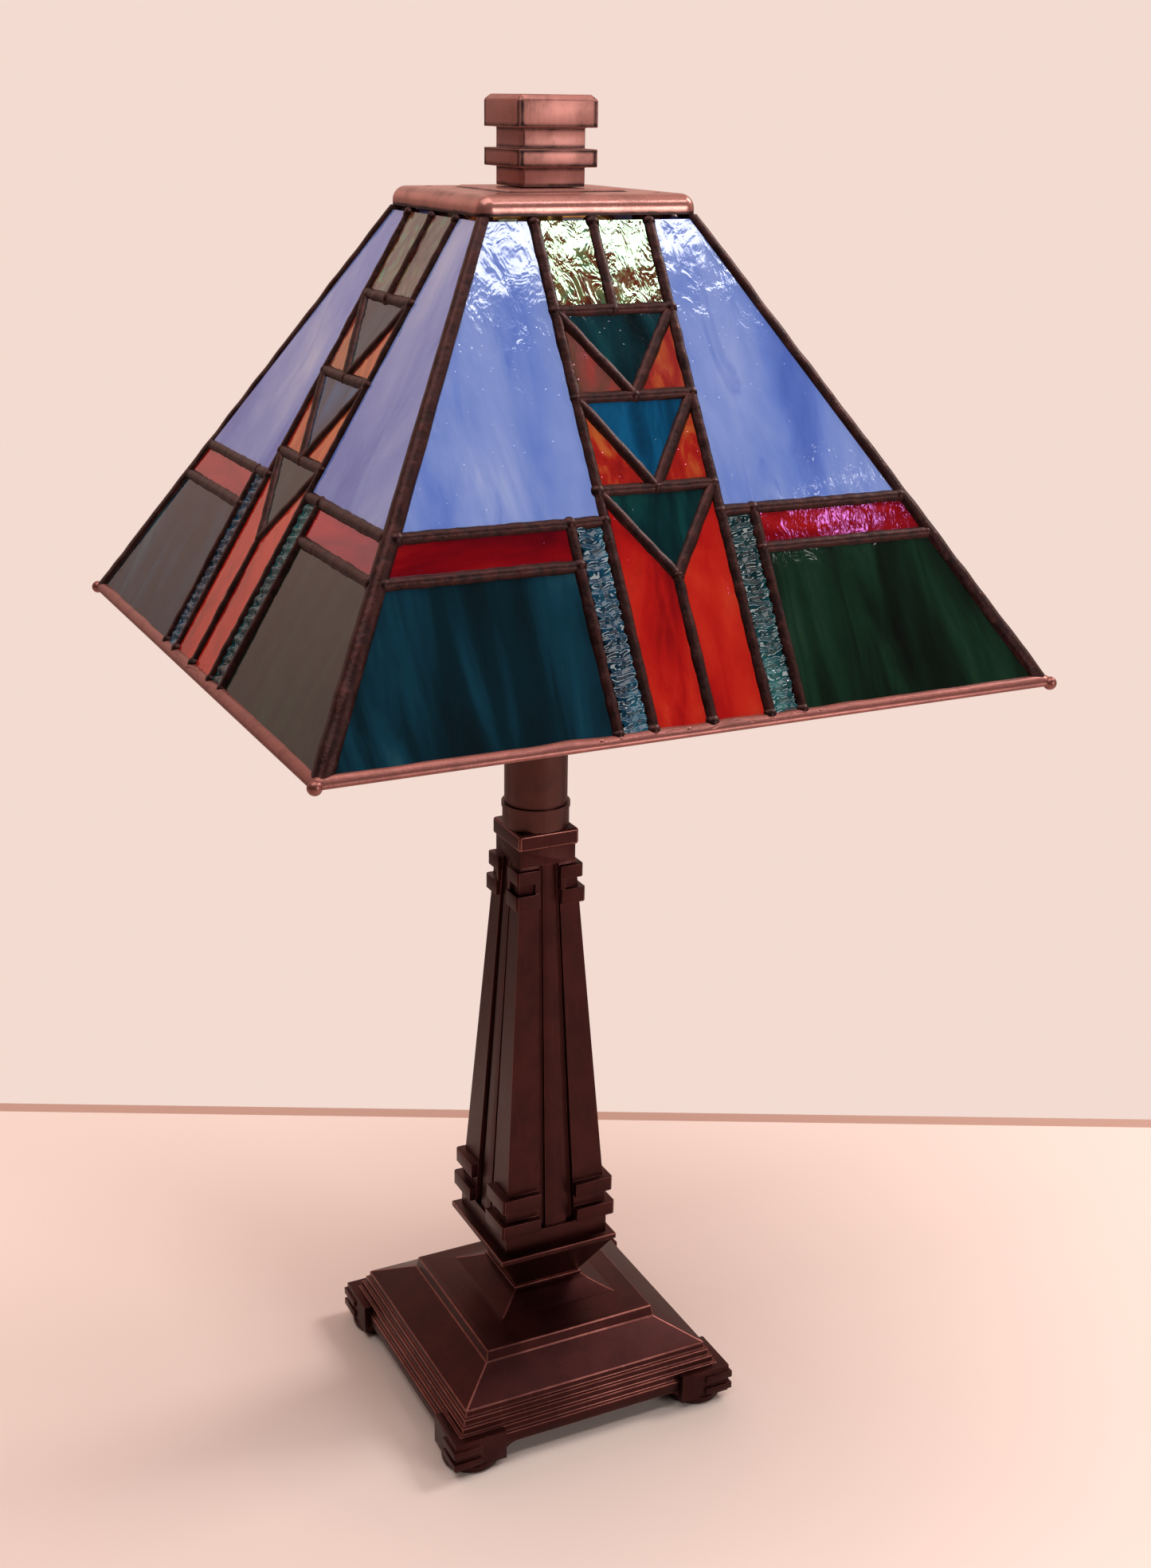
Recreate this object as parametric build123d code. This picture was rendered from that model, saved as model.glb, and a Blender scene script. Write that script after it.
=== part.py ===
from build123d import *
from math import cos, radians, sin, sqrt
import os

os.makedirs("parts", exist_ok=True)

# A small table lamp: a square leaded-glass shade on a cast, stepped column.
# Millimetres. +Z is up, the origin is the middle of the base on the table,
# and one flat side of the shade and of the base faces -Y.

# ---------------------------------------------------------------- clearances
slip = 0.05            # parts of the stand that slide over each other when built
running = 0.08         # radial play of a thread, pivot or sleeve that turns
free_play = 0.3        # play between pieces that only pass by each other
seat_gap = 0.1         # light gap under pieces that turn on a flat seat

# ---------------------------------------------------------------------- base
pad_thickness = 1.0
pad_inset = 1.0                # a pad is this much smaller than its foot's disc
foot_half_width = 10.2         # corner foot block, half its plan width
foot_disc_radius = 10.8
foot_disc_top = 3.0
foot_block_top = 14.6
foot_outset = 2.0              # a foot's outer faces stand out from the skirt
foot_proud = 1.0               # the wrapped bands stand out from the foot
foot_band_height = 2.6
foot_upper_band_z = 9.4
foot_lower_band_z = 4.4
bracket_radius = 4.4           # hollow curve between a foot and the skirt
skirt_half = 55.5
skirt_bottom = 7.4
skirt_band_top = 12.0
moulding_rise = 2.6
moulding_tread = 1.3
moulding_count = 4
tier_half = 35.5
tier_bottom = 29.8
tier_top = 34.0
tier_batter = 0.6
base_top_half = 14.3
base_top = 42.3
slope_hollow = 1.1             # how far the upper slope sags below a straight line
casting_wall = 3.6
boss_radius = 9.0
cut_margin = 1.0               # cutting bodies run past what they cut by this much

# ------------------------------------------------------- ballast and fixings
ballast_half = 27.0
ballast_bottom = 23.0
ballast_thickness = 7.0
ballast_corner = 4.0
pipe_radius = 4.9
pipe_bore_radius = 3.4
washer_radius = 10.0
washer_thickness = 1.4
nut_across_flats = 15.0
nut_height = 5.2
pipe_below_nut = 1.2
pipe_in_cap = 7.7              # length of pipe inside the socket cap
bushing_flange = 1.0
bushing_insert = 4.0
cord_hole_radius = 2.8

# -------------------------------------------------------------------- column
pedestal_lip_height = 1.4
pedestal_foot_half = 13.4
pedestal_top_half = 23.6
flange_half = 24.3
flange_bottom = 61.2
flange_height = 2.2
plinth_half = 21.2
shaft_foot_z = 71.6
shaft_top_z = 216.2
shaft_top_half = 11.1
centre_share = 0.36            # centre panel's part of a face
strip_share = 0.20             # raised strip's part of a face
groove_share = 0.13            # groove depth as a part of the half width
strip_drop_share = 0.04        # the strip lies a little below the corner faces
lower_band_proud = 2.7
upper_band_proud = 1.9
band_edge_round = 0.8
foot_bands = [(72.2, 77.6), (82.4, 88.0)]
neck_bands = [(200.8, 206.4), (210.4, 215.4)]
bridge_width = 1.8             # small upright bars that tie two bands together
cap_half = 11.9
cap_bevel = 0.7
cap_bottom = 222.6
column_top = 229.0
neck_half = 10.9
column_bore_radius = pipe_radius + free_play

# ------------------------------------------------------------ riser and harp
riser_radius = 11.5
riser_wall = 1.2
riser_top = 258.0
cup_radius = 12.2
cup_height = 8.5
cup_bead_height = 1.6
cup_bead_proud = 0.35
saddle_thickness = 1.6
saddle_disc_radius = 12.6
saddle_width = 11.0
leg_offset = 27.0              # harp legs from the lamp's axis
wire_radius = 1.8
peg_height = 9.4
ferrule_radius = 3.4
ferrule_height = 10.0
harp_knee_z = 292.0
harp_shoulder_z = 322.0
harp_bow = 46.0
harp_haunch_z = 410.0
harp_flat_half = 24.0
harp_flat_z = 442.3
harp_bend = 18.0
seat_radius = 7.5
seat_below_wire = 2.8
stud_radius = 3.1
stud_engagement = 8.0          # thread length that holds the finial

# -------------------------------------------------------------------- socket
socket_cap_neck = 9.0
socket_cap_radius = 17.0
socket_cap_height = 14.0
socket_cap_flare_height = 8.4
socket_cap_floor = 5.5         # solid height round the pipe
socket_cap_wall = 1.1
socket_cap_waist_out = 1.5
shell_radius = 16.8
shell_wall = 0.7
shell_top = 318.0
liner_wall = 0.9
block_height = 17.0
liner_below_top = 2.0
screw_shell_below_top = 4.0
switch_z = 284.0
stem_radius = 2.2
stem_inner = 4.0
stem_outer = 29.0
knob_radius = 6.4
knob_start = 21.5
knob_length = 10.5
knob_flute_radius = 1.1
knob_flutes = 12
knob_flute_out = 0.5           # flute centres lie this far outside the knob
knob_edge = 0.8
bushing_hole_radius = 3.6
switch_hole_depth = 10.8       # cut through the shell and its liner
screw_shell_wall = 0.5
contact_radius = 4.0
contact_height = 1.6

# ---------------------------------------------------------------------- bulb
bulb_thread_radius = 13.1
bulb_seat_height = 1.2         # solder contact under the bulb's screw base
bulb_base_height = 24.0
bulb_neck_radius = 12.6
bulb_neck_rise = 15.0          # how far the neck runs up before it widens
bulb_join_share = 0.62         # where the neck meets the ball, below its middle
bulb_join_lean = 14.0
bulb_base_bevel = 2.5
globe_radius = 30.0
globe_centre_above_base = 54.0
globe_wall = 1.0

# --------------------------------------------------------------------- shade
shade_half_bottom = 125.7
shade_half_top = 37.4
rim_bottom = 300.0
shade_top = 443.6
rim_height = 1.4
rim_proud = 0.7
rim_width = 5.2
corner_ball_radius = 2.2
lead_thickness = 3.0
lead_width = 3.2
glass_thickness = 2.6
hip_at_top = 2.8               # hip seam, from the corner along each side
hip_at_bottom = 4.6
hip_border = 0.7
foot_lift = 0.6                # keeps the panes' square-cut inner edges off the rim
inner_line = 20.0              # upright lead lines beside the middle figure
outer_line = 31.6              # upright lead lines outside the rippled strips
line_under_panes = 0.187       # cross lines, as shares of the slant from the top
line_second = 0.357
line_third = 0.535
last_point = 0.705
band_upper = 0.59
band_lower = 0.668

# ------------------------------------------------------------- cap and finial
cap_pan_half = 38.2
cap_pan_height = 6.2
cap_pan_round = 4.6
cap_pan_wall = 2.0
cap_sheet = 1.0
plateau_half = 21.0
plateau_rise = 0.8
plateau_bevel = 1.4
vent_place = 28.0
vent_radius = 1.3
cap_washer_radius = 12.0
cap_washer_thickness = 1.2
finial_wide = 13.9
finial_narrow = 10.9
finial_steps = [6.1, 5.6, 6.5, 10.0]
finial_bevel = 1.6
felt_radius = 8.5
felt_thickness = 0.9
felt_recess = 0.7
insert_radius = 5.0
insert_height = 10.0

sides = ["front", "right", "back", "left"]


# ------------------------------------------------------------------- helpers
def save(name, shape):
    """One node: a solid, or a group of separate solids, in a STEP file of its own."""
    solids = shape.solids() if hasattr(shape, "solids") else list(shape)
    group = solids[0] if len(solids) == 1 else Compound(children=list(solids))
    group.label = name
    export_step(group, f"parts/{name}.step")


def tube(outer, inner, low, high):
    """Upright round tube; an inner radius of 0 gives a full cylinder."""
    height = high - low
    body = Pos(0, 0, low + height / 2) * Cylinder(outer, height)
    if inner > 0:
        body -= Pos(0, 0, low + height / 2) * Cylinder(inner, height * 1.5)
    return body


def block(x_low, x_high, y_low, y_high, z_low, z_high):
    middle = Pos((x_low + x_high) / 2, (y_low + y_high) / 2, (z_low + z_high) / 2)
    return middle * Box(x_high - x_low, y_high - y_low, z_high - z_low)


def frustum(half_low, half_high, low, high):
    """Square body with straight sloping sides."""
    foot = Plane(origin=(0, 0, low)) * Rectangle(2 * half_low, 2 * half_low)
    head = Plane(origin=(0, 0, high)) * Rectangle(2 * half_high, 2 * half_high)
    return loft([foot, head], ruled=True)


def square_turned(half_outline):
    """Square body with one side profile on all four sides, mitred at the corners.

    half_outline holds the edges of the profile's right half, closed to the axis,
    with X as the half width and Y as the height.
    """
    outline = Curve() + half_outline
    outline += mirror(outline, Plane.YZ)
    side = Plane.XZ * make_face(outline.edges())
    reach = side.bounding_box().size.X
    long_bar = extrude(side, amount=reach, both=True)
    return long_bar & (Rot(0, 0, 90) * long_bar)


def four_times(shape):
    """The shape and its three copies a quarter turn apart."""
    return [Rot(0, 0, 90 * turn) * shape for turn in range(4)]


def corner_copies(shape):
    return Compound(children=[solid for copy in four_times(shape) for solid in copy.solids()])


# ---------------------------------------------------------------------- base
def base_outline(inset):
    """Right half of the base's profile, moved inwards by inset for the hollow."""
    points = [(0, skirt_bottom - inset), (skirt_half - inset, skirt_bottom - inset)]
    half = skirt_half - inset
    z = skirt_band_top - inset * 0.4
    for step in range(moulding_count):
        points += [(half, z)]
        half -= moulding_tread
        points += [(half, z)]
        z += moulding_rise
    points += [(half, z)]
    points += [(tier_half - inset, tier_bottom - inset * 0.6)]
    tier_inner = tier_half - tier_batter - inset
    points += [(tier_inner, tier_top - inset * 0.8)]
    top_half = base_top_half - inset * 0.5
    top = base_top - inset
    middle_half = (tier_inner + top_half) / 2
    middle_z = (tier_top - inset * 0.8 + top) / 2 - slope_hollow
    slope = ThreePointArc((tier_inner, tier_top - inset * 0.8), (middle_half, middle_z), (top_half, top))
    return [Polyline(*points), slope, Line((top_half, top), (0, top))]


foot_outer = -skirt_half - foot_outset
foot_inner = foot_outer + 2 * foot_half_width
foot_middle = foot_outer + foot_half_width


def foot_bracket():
    """Hollow-curved bracket beside a foot, under the skirt of the -Y side."""
    low = skirt_bottom - bracket_radius
    far = foot_inner + bracket_radius
    bracket = block(foot_inner, far, -skirt_half, -skirt_half + casting_wall, low, skirt_bottom)
    scoop = Pos(far, -skirt_half, low) * Rot(90, 0, 0) * Cylinder(bracket_radius, 4 * casting_wall)
    return bracket - scoop


def corner_foot():
    """One bracket foot at the -X -Y corner: a banded block on a disc, with its brackets."""
    foot = block(foot_outer, foot_inner, foot_outer, foot_inner, foot_disc_top, foot_block_top)
    band_outer = foot_outer - foot_proud
    for low in (foot_lower_band_z, foot_upper_band_z):
        foot += block(band_outer, foot_middle, band_outer, foot_middle, low, low + foot_band_height)
    foot += Pos(foot_middle, foot_middle, 0) * tube(foot_disc_radius, 0, pad_thickness, foot_disc_top)
    bracket = foot_bracket()
    foot += bracket
    foot += mirror(bracket, Plane(origin=(0, 0, 0), z_dir=(1, -1, 0)))
    return foot


def make_base():
    body = base_body - square_turned(base_outline(casting_wall))
    body += tube(boss_radius, 0, ballast_bottom + ballast_thickness, base_top - casting_wall / 2)
    return body - tube(column_bore_radius, 0, 0, base_top + cut_margin)


base_body = square_turned(base_outline(0))
base_casting = make_base()
corner_feet = corner_copies(corner_foot() - base_body)
foot_pad = Pos(foot_middle, foot_middle, 0) * tube(foot_disc_radius - pad_inset, 0, 0, pad_thickness)

ballast_top = ballast_bottom + ballast_thickness
ballast_plate = block(-ballast_half, ballast_half, -ballast_half, ballast_half, ballast_bottom, ballast_top)
ballast_plate = chamfer(ballast_plate.edges().filter_by(Axis.Z), ballast_corner)
ballast_plate -= tube(column_bore_radius, 0, ballast_bottom - 1, ballast_top + 1)

# ---------------------------------------------------------- pipe, nut, washer
washer_bottom = ballast_bottom - washer_thickness
nut_bottom = washer_bottom - nut_height
pipe_bottom = nut_bottom - pipe_below_nut
saddle_top = riser_top + saddle_thickness
pipe_top = saddle_top + pipe_in_cap

base_washer = tube(washer_radius, pipe_radius + slip, washer_bottom, ballast_bottom)
nut_plan = RegularPolygon(nut_across_flats / 2, 6, major_radius=False)
base_nut = extrude(Plane(origin=(0, 0, nut_bottom)) * nut_plan, amount=nut_height)
base_nut -= tube(pipe_radius + slip, 0, nut_bottom - 1, washer_bottom + 1)
lamp_pipe = tube(pipe_radius, pipe_bore_radius, pipe_bottom, pipe_top)
pipe_bushing = tube(pipe_radius, cord_hole_radius, pipe_bottom - bushing_flange, pipe_bottom)
pipe_bushing += tube(pipe_bore_radius - slip, cord_hole_radius, pipe_bottom, pipe_bottom + bushing_insert)


# -------------------------------------------------------------------- column
def make_pedestal():
    lip_top = base_top + pedestal_lip_height
    flange_top = flange_bottom + flange_height
    outline = [Polyline(
        (0, base_top), (base_top_half, base_top), (base_top_half, lip_top),
        (pedestal_foot_half, lip_top), (pedestal_top_half, flange_bottom),
        (flange_half, flange_bottom), (flange_half, flange_top), (0, flange_top),
    )]
    return square_turned(outline) - tube(column_bore_radius, 0, base_top - 1, flange_top + 1)


def shaft_plan(half):
    """Plan of the shaft: four corner posts and a raised strip in each face."""
    face = -half
    groove = face + groove_share * half
    strip = face + strip_drop_share * half
    side = [
        (-half, face), (-centre_share * half, face), (-centre_share * half, groove),
        (-strip_share * half, groove), (-strip_share * half, strip),
        (strip_share * half, strip), (strip_share * half, groove),
        (centre_share * half, groove), (centre_share * half, face),
    ]
    points = []
    for turn in range(4):
        angle = radians(90 * turn)
        points += [(x * cos(angle) - y * sin(angle), x * sin(angle) + y * cos(angle)) for x, y in side]
    return Polygon(*points, align=None)


def shaft_half_at(z):
    share = (z - shaft_foot_z) / (shaft_top_z - shaft_foot_z)
    return plinth_half + (shaft_top_half - plinth_half) * share


def corner_bands(low, high, proud):
    """Four blocks that wrap the corner posts, open at the middle of each face."""
    half = shaft_half_at((low + high) / 2) + proud
    inner = shaft_half_at(high) * (1 - groove_share)
    opening = centre_share * shaft_half_at(low)
    ring = block(-half, half, -half, half, low, high)
    ring = chamfer(ring.edges().filter_by(Axis.Z), band_edge_round)
    ring -= block(-inner, inner, -inner, inner, low - 1, high + 1)
    ring -= block(-opening, opening, -half - 1, half + 1, low - 1, high + 1)
    ring -= block(-half - 1, half + 1, -opening, opening, low - 1, high + 1)
    return ring


def band_bridges(low, high, proud):
    """Upright bars that join a pair of bands on both sides of each face's middle."""
    start = centre_share * shaft_half_at(low)
    half = shaft_half_at((low + high) / 2) + proud * 0.8
    bar = block(start, start + bridge_width, -half, -shaft_half_at(high) * 0.9, low, high)
    pair = bar + mirror(bar, Plane.YZ)
    return four_times(pair)


def make_shaft():
    plinth_foot = flange_bottom + flange_height
    shaft = block(-plinth_half, plinth_half, -plinth_half, plinth_half, plinth_foot, shaft_foot_z)
    low_plan = Plane(origin=(0, 0, shaft_foot_z)) * shaft_plan(plinth_half)
    high_plan = Plane(origin=(0, 0, shaft_top_z)) * shaft_plan(shaft_top_half)
    shaft += loft([low_plan, high_plan], ruled=True)
    for low, high in foot_bands:
        shaft += corner_bands(low, high, lower_band_proud)
    for low, high in neck_bands:
        shaft += corner_bands(low, high, upper_band_proud)
    for bridge in band_bridges(neck_bands[0][1], neck_bands[1][0], upper_band_proud):
        shaft += bridge
    shaft += block(-neck_half, neck_half, -neck_half, neck_half, shaft_top_z, cap_bottom)
    return shaft - tube(column_bore_radius, 0, plinth_foot - 1, cap_bottom + 1)


column_pedestal = make_pedestal()
column_shaft = make_shaft()
column_cap = block(-cap_half, cap_half, -cap_half, cap_half, cap_bottom, column_top)
column_cap = chamfer(column_cap.edges(), cap_bevel)
column_cap -= tube(column_bore_radius, 0, cap_bottom - 1, column_top + 1)

# --------------------------------------------------------------- riser, harp
cup_top = column_top + cup_height
seating_cup = tube(cup_radius, riser_radius + slip, column_top, cup_top - cup_bead_height)
seating_cup += tube(cup_radius + cup_bead_proud, riser_radius + slip, cup_top - cup_bead_height, cup_top)
riser_sleeve = tube(riser_radius, riser_radius - riser_wall, column_top, riser_top)

peg_top = saddle_top + peg_height
harp_saddle = tube(saddle_disc_radius, 0, riser_top, saddle_top)
harp_saddle += block(-leg_offset, leg_offset, -saddle_width / 2, saddle_width / 2, riser_top, saddle_top)
for side in (-1, 1):
    harp_saddle += Pos(side * leg_offset, 0, 0) * tube(saddle_width / 2, 0, riser_top, saddle_top)
    harp_saddle += Pos(side * leg_offset, 0, 0) * tube(wire_radius, 0, saddle_top, peg_top)
harp_saddle -= tube(pipe_radius + slip, 0, riser_top - 1, saddle_top + 1)


def make_harp_wire():
    """Round wire from one peg, round the bulb and back to the other peg."""
    right = [
        (leg_offset, peg_top), (leg_offset, harp_knee_z), (harp_bow, harp_shoulder_z),
        (harp_bow, harp_haunch_z), (harp_flat_half, harp_flat_z),
    ]
    left = [(-x, z) for x, z in reversed(right)]
    path_points = [(x, 0, z) for x, z in right + left]
    path = FilletPolyline(*path_points, radius=harp_bend)
    section = Plane(origin=(leg_offset, 0, peg_top), z_dir=(0, 0, 1)) * Circle(wire_radius)
    return sweep(section, path=path)


cap_flat_top = shade_top + cap_pan_height
plateau_top = cap_flat_top + plateau_rise
plateau_under = plateau_top - cap_sheet
cap_washer_bottom = plateau_under - cap_washer_thickness
seat_top = cap_washer_bottom - seat_gap
felt_bottom = plateau_top + seat_gap
insert_bottom = felt_bottom + felt_thickness
finial_bottom = insert_bottom - felt_recess
stud_top = insert_bottom + stud_engagement
harp_wire = make_harp_wire()
harp_seat = tube(seat_radius, 0, harp_flat_z - seat_below_wire, seat_top)
harp_seat += tube(stud_radius, 0, seat_top, stud_top)
seat_eye = Pos(0, 0, harp_flat_z) * Rot(0, 90, 0) * Cylinder(wire_radius, 3 * seat_radius)
harp_seat -= seat_eye


def make_ferrule(side):
    low = peg_top - ferrule_height / 2
    sleeve = tube(ferrule_radius, wire_radius + running, low, low + ferrule_height)
    return Pos(side * leg_offset, 0, 0) * sleeve


# -------------------------------------------------------------------- socket
cap_lip = saddle_top + socket_cap_height
neck_top = saddle_top + socket_cap_flare_height


def make_socket_cap():
    """Flared cup that screws on the pipe and carries the shell."""
    floor = saddle_top + socket_cap_floor
    inner = socket_cap_radius - socket_cap_wall
    waist = (socket_cap_neck + socket_cap_waist_out, saddle_top + socket_cap_flare_height / 2)
    outline = [
        (pipe_radius + slip, saddle_top), (socket_cap_neck, saddle_top), waist,
        (socket_cap_radius, neck_top), (socket_cap_radius, cap_lip), (inner, cap_lip),
        (inner, neck_top + socket_cap_wall / 2), (socket_cap_neck, floor), (pipe_radius + slip, floor),
    ]
    return revolve(Plane.XZ * Polygon(*outline, align=None), Axis.Z)


shell_inner = shell_radius - shell_wall
liner_inner = shell_inner - slip - liner_wall
screw_shell_inner = bulb_thread_radius + free_play
screw_shell_outer = screw_shell_inner + screw_shell_wall
block_top = cap_lip + block_height
switch_line = Pos(0, shell_radius, switch_z) * Rot(90, 0, 0)
switch_hole = switch_line * Cylinder(bushing_hole_radius, switch_hole_depth)

socket_cap = make_socket_cap()
socket_shell = tube(shell_radius, shell_inner, cap_lip, shell_top) - switch_hole
socket_liner = tube(shell_inner - slip, liner_inner, cap_lip, shell_top - liner_below_top) - switch_hole
socket_block = tube(liner_inner - slip, 0, cap_lip, block_top)
stem_bore = Pos(0, (stem_inner + shell_radius) / 2, switch_z) * Rot(90, 0, 0)
socket_block -= stem_bore * Cylinder(stem_radius + running, shell_radius - stem_inner + 2 * running)
screw_shell = tube(screw_shell_outer, screw_shell_inner, block_top, shell_top - screw_shell_below_top)
contact_tab = tube(contact_radius, 0, block_top, block_top + contact_height)

stem_length = stem_outer - stem_inner
stem_middle = Pos(0, stem_inner + stem_length / 2, switch_z) * Rot(90, 0, 0)
switch_stem = stem_middle * Cylinder(stem_radius, stem_length)


def make_knob():
    """Fluted round knob on the end of the switch stem."""
    knob = Cylinder(knob_radius, knob_length)
    knob = chamfer(knob.edges().filter_by(GeomType.CIRCLE), knob_edge)
    for flute in PolarLocations(knob_radius + knob_flute_out, knob_flutes):
        knob -= flute * Cylinder(knob_flute_radius, knob_length)
    knob = Pos(0, knob_start + knob_length / 2, switch_z) * Rot(90, 0, 0) * knob
    return knob - switch_stem


switch_knob = make_knob()

# ---------------------------------------------------------------------- bulb
bulb_contact_bottom = block_top + contact_height + seat_gap
bulb_base_bottom = bulb_contact_bottom + bulb_seat_height
bulb_base_top = bulb_base_bottom + bulb_base_height
globe_centre = bulb_base_top + globe_centre_above_base


def globe_body(inset):
    """Full body of the glass: a narrow neck that widens into a ball."""
    ball_radius = globe_radius - inset
    neck = (bulb_neck_radius - inset, bulb_base_top)
    drop = ball_radius * bulb_join_share
    join = (sqrt(ball_radius ** 2 - drop ** 2), globe_centre - drop)
    lean = Vector(-drop, -join[0]).normalized() * bulb_join_lean
    profile = [
        Line((0, bulb_base_top), neck),
        Bezier(neck, (neck[0], neck[1] + bulb_neck_rise), (join[0] + lean.X, join[1] + lean.Y), join),
        ThreePointArc(join, (ball_radius, globe_centre), (0, globe_centre + ball_radius)),
        Line((0, globe_centre + ball_radius), (0, bulb_base_top)),
    ]
    return revolve(Plane.XZ * make_face(Curve() + profile), Axis.Z)


bulb_globe = globe_body(0) - globe_body(globe_wall)
bulb_screw_base = tube(bulb_thread_radius, 0, bulb_base_bottom, bulb_base_top)
bulb_screw_base = chamfer(bulb_screw_base.edges().sort_by(Axis.Z)[0], bulb_base_bevel)
bulb_contact = tube(contact_radius, 0, bulb_contact_bottom, bulb_base_bottom)

# --------------------------------------------------------------------- shade
shade_rise = shade_top - rim_bottom
shade_run = shade_half_bottom - shade_half_top
slant = sqrt(shade_rise ** 2 + shade_run ** 2)
glass_foot = rim_bottom + rim_height
level_thickness = lead_thickness * slant / shade_rise
outwards = Vector(0, -shade_rise / slant, shade_run / slant)
inwards = -outwards
side_plane = Plane(origin=(0, -shade_half_top, shade_top), x_dir=(1, 0, 0), z_dir=outwards)
lead_half = lead_width / 2
hip_slope = shade_run / slant
hip_stretch = sqrt(1 + hip_slope ** 2)


def shade_half_at(z):
    return shade_half_top + (shade_top - z) * shade_run / shade_rise


def panel_half(share):
    """Half width of a side panel at a share of the slant, up to its hip seam."""
    corner = shade_half_top + shade_run * share
    return corner - (hip_at_top + (hip_at_bottom - hip_at_top) * share)


def cell_half(share):
    """Half width of the cells, so that only a narrow border is left along the hip."""
    return panel_half(share) + (lead_half - hip_border) * hip_stretch


def on_panel(points):
    """Points given as distance across and share of the slant, in the side's plane."""
    return Polygon(*[(u, -share * slant) for u, share in points], align=None)


def pane_cells():
    """Every cell of one side by kind of glass, each a list of (across, share) corners."""
    hip_band_upper = cell_half(band_upper)
    hip_band_lower = cell_half(band_lower)
    foot_share = (shade_top - glass_foot) / shade_rise - foot_lift / slant
    cross = [line_under_panes, line_second, line_third, last_point]
    cells = {name: [] for name in ("blue", "iridescent", "teal", "amber", "flame", "ripple", "red", "dark")}
    for share, tip in zip(cross, cross[1:]):
        cells["teal"].append([(-inner_line, share), (inner_line, share), (0, tip)])
    for hand in (-1, 1):
        inner = hand * inner_line
        outer = hand * outer_line
        cells["blue"].append([
            (hand * cell_half(0), 0), (inner, 0), (inner, band_upper), (hand * hip_band_upper, band_upper),
        ])
        cells["iridescent"].append([(inner, 0), (0, 0), (0, cross[0]), (inner, cross[0])])
        for share, tip in zip(cross[:2], cross[1:3]):
            cells["amber"].append([(inner, share), (0, tip), (inner, tip)])
        cells["flame"].append([
            (inner, cross[2]), (0, cross[3]), (0, foot_share), (inner, foot_share),
        ])
        cells["ripple"].append([
            (outer, band_upper), (inner, band_upper), (inner, foot_share), (outer, foot_share),
        ])
        cells["red"].append([
            (hand * hip_band_upper, band_upper), (outer, band_upper),
            (outer, band_lower), (hand * hip_band_lower, band_lower),
        ])
        cells["dark"].append([
            (hand * hip_band_lower, band_lower), (outer, band_lower),
            (outer, foot_share), (hand * cell_half(foot_share), foot_share),
        ])
    return cells


def pane_outline(cell):
    return offset(on_panel(cell), amount=-lead_half, kind=Kind.INTERSECTION)


def pane(outline, thickness):
    """A pane in the middle of the lead's thickness."""
    proud = (lead_thickness - thickness) / 2
    return extrude(side_plane.offset(-proud) * outline, amount=thickness, dir=inwards)


over = 0.05
panel_plan = on_panel([
    (-panel_half(-over), -over), (panel_half(-over), -over), (panel_half(1 + over), 1 + over),
    (-panel_half(1 + over), 1 + over),
])
glass_shell = frustum(shade_half_at(glass_foot), shade_half_top, glass_foot, shade_top)
glass_shell -= frustum(
    shade_half_at(glass_foot - 1) - level_thickness, shade_half_at(shade_top + 1) - level_thickness,
    glass_foot - 1, shade_top + 1,
)
panel = extrude(side_plane * panel_plan, amount=lead_thickness, dir=inwards) & glass_shell
outlines = {kind: [pane_outline(cell) for cell in cells] for kind, cells in pane_cells().items()}

lattice = panel
for group in outlines.values():
    for outline in group:
        lattice -= extrude(side_plane.offset(1) * outline, amount=lead_thickness + 2, dir=inwards)

hip_seams = glass_shell
for copy in four_times(panel):
    hip_seams -= copy


def make_rim_bars():
    """Four bars under the glass, mitred where they meet and cut for the solder balls."""
    outer = shade_half_bottom + rim_proud
    ring = block(-outer, outer, -outer, outer, rim_bottom, glass_foot)
    inner = outer - rim_width
    ring -= block(-inner, inner, -inner, inner, rim_bottom - 1, glass_foot + 1)
    reach = 2 * outer
    quarter = Polygon((0, 0), (-reach, -reach), (reach, -reach), align=None)
    bar = ring & extrude(Plane(origin=(0, 0, rim_bottom - 1)) * quarter, amount=rim_height + 2)
    return corner_copies(bar)


ball_place = shade_half_bottom + rim_proud - corner_ball_radius / 2
ball = Pos(-ball_place, -ball_place, rim_bottom + rim_height / 2) * Sphere(corner_ball_radius)
corner_balls = corner_copies(ball)
rim_channels = make_rim_bars()


# ------------------------------------------------------------ cap and finial
def make_shade_cap():
    """Pressed square pan with rounded edges, a raised middle and corner vents."""
    pan = block(-cap_pan_half, cap_pan_half, -cap_pan_half, cap_pan_half, shade_top, cap_flat_top)
    rounded = pan.edges().filter_by(Axis.Z) + pan.edges().group_by(Axis.Z)[-1]
    pan = fillet(rounded, cap_pan_round)
    pan += frustum(plateau_half, plateau_half - plateau_bevel, cap_flat_top, plateau_top)
    hollow_half = cap_pan_half - cap_pan_wall
    under = cap_flat_top - cap_sheet
    hollow = block(-hollow_half, hollow_half, -hollow_half, hollow_half, shade_top - 1, under)
    hollow_round = hollow.edges().filter_by(Axis.Z) + hollow.edges().group_by(Axis.Z)[-1]
    hollow = fillet(hollow_round, cap_pan_round - cap_sheet)
    pan -= hollow
    pan -= frustum(plateau_half - 1, plateau_half - 1 - plateau_bevel, under - 0.01, plateau_under)
    pan -= tube(stud_radius + free_play, 0, shade_top, plateau_top + 1)
    for x in (-vent_place, vent_place):
        for y in (-vent_place, vent_place):
            pan -= Pos(x, y, 0) * tube(vent_radius, 0, shade_top, plateau_top + 1)
    return pan


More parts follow.
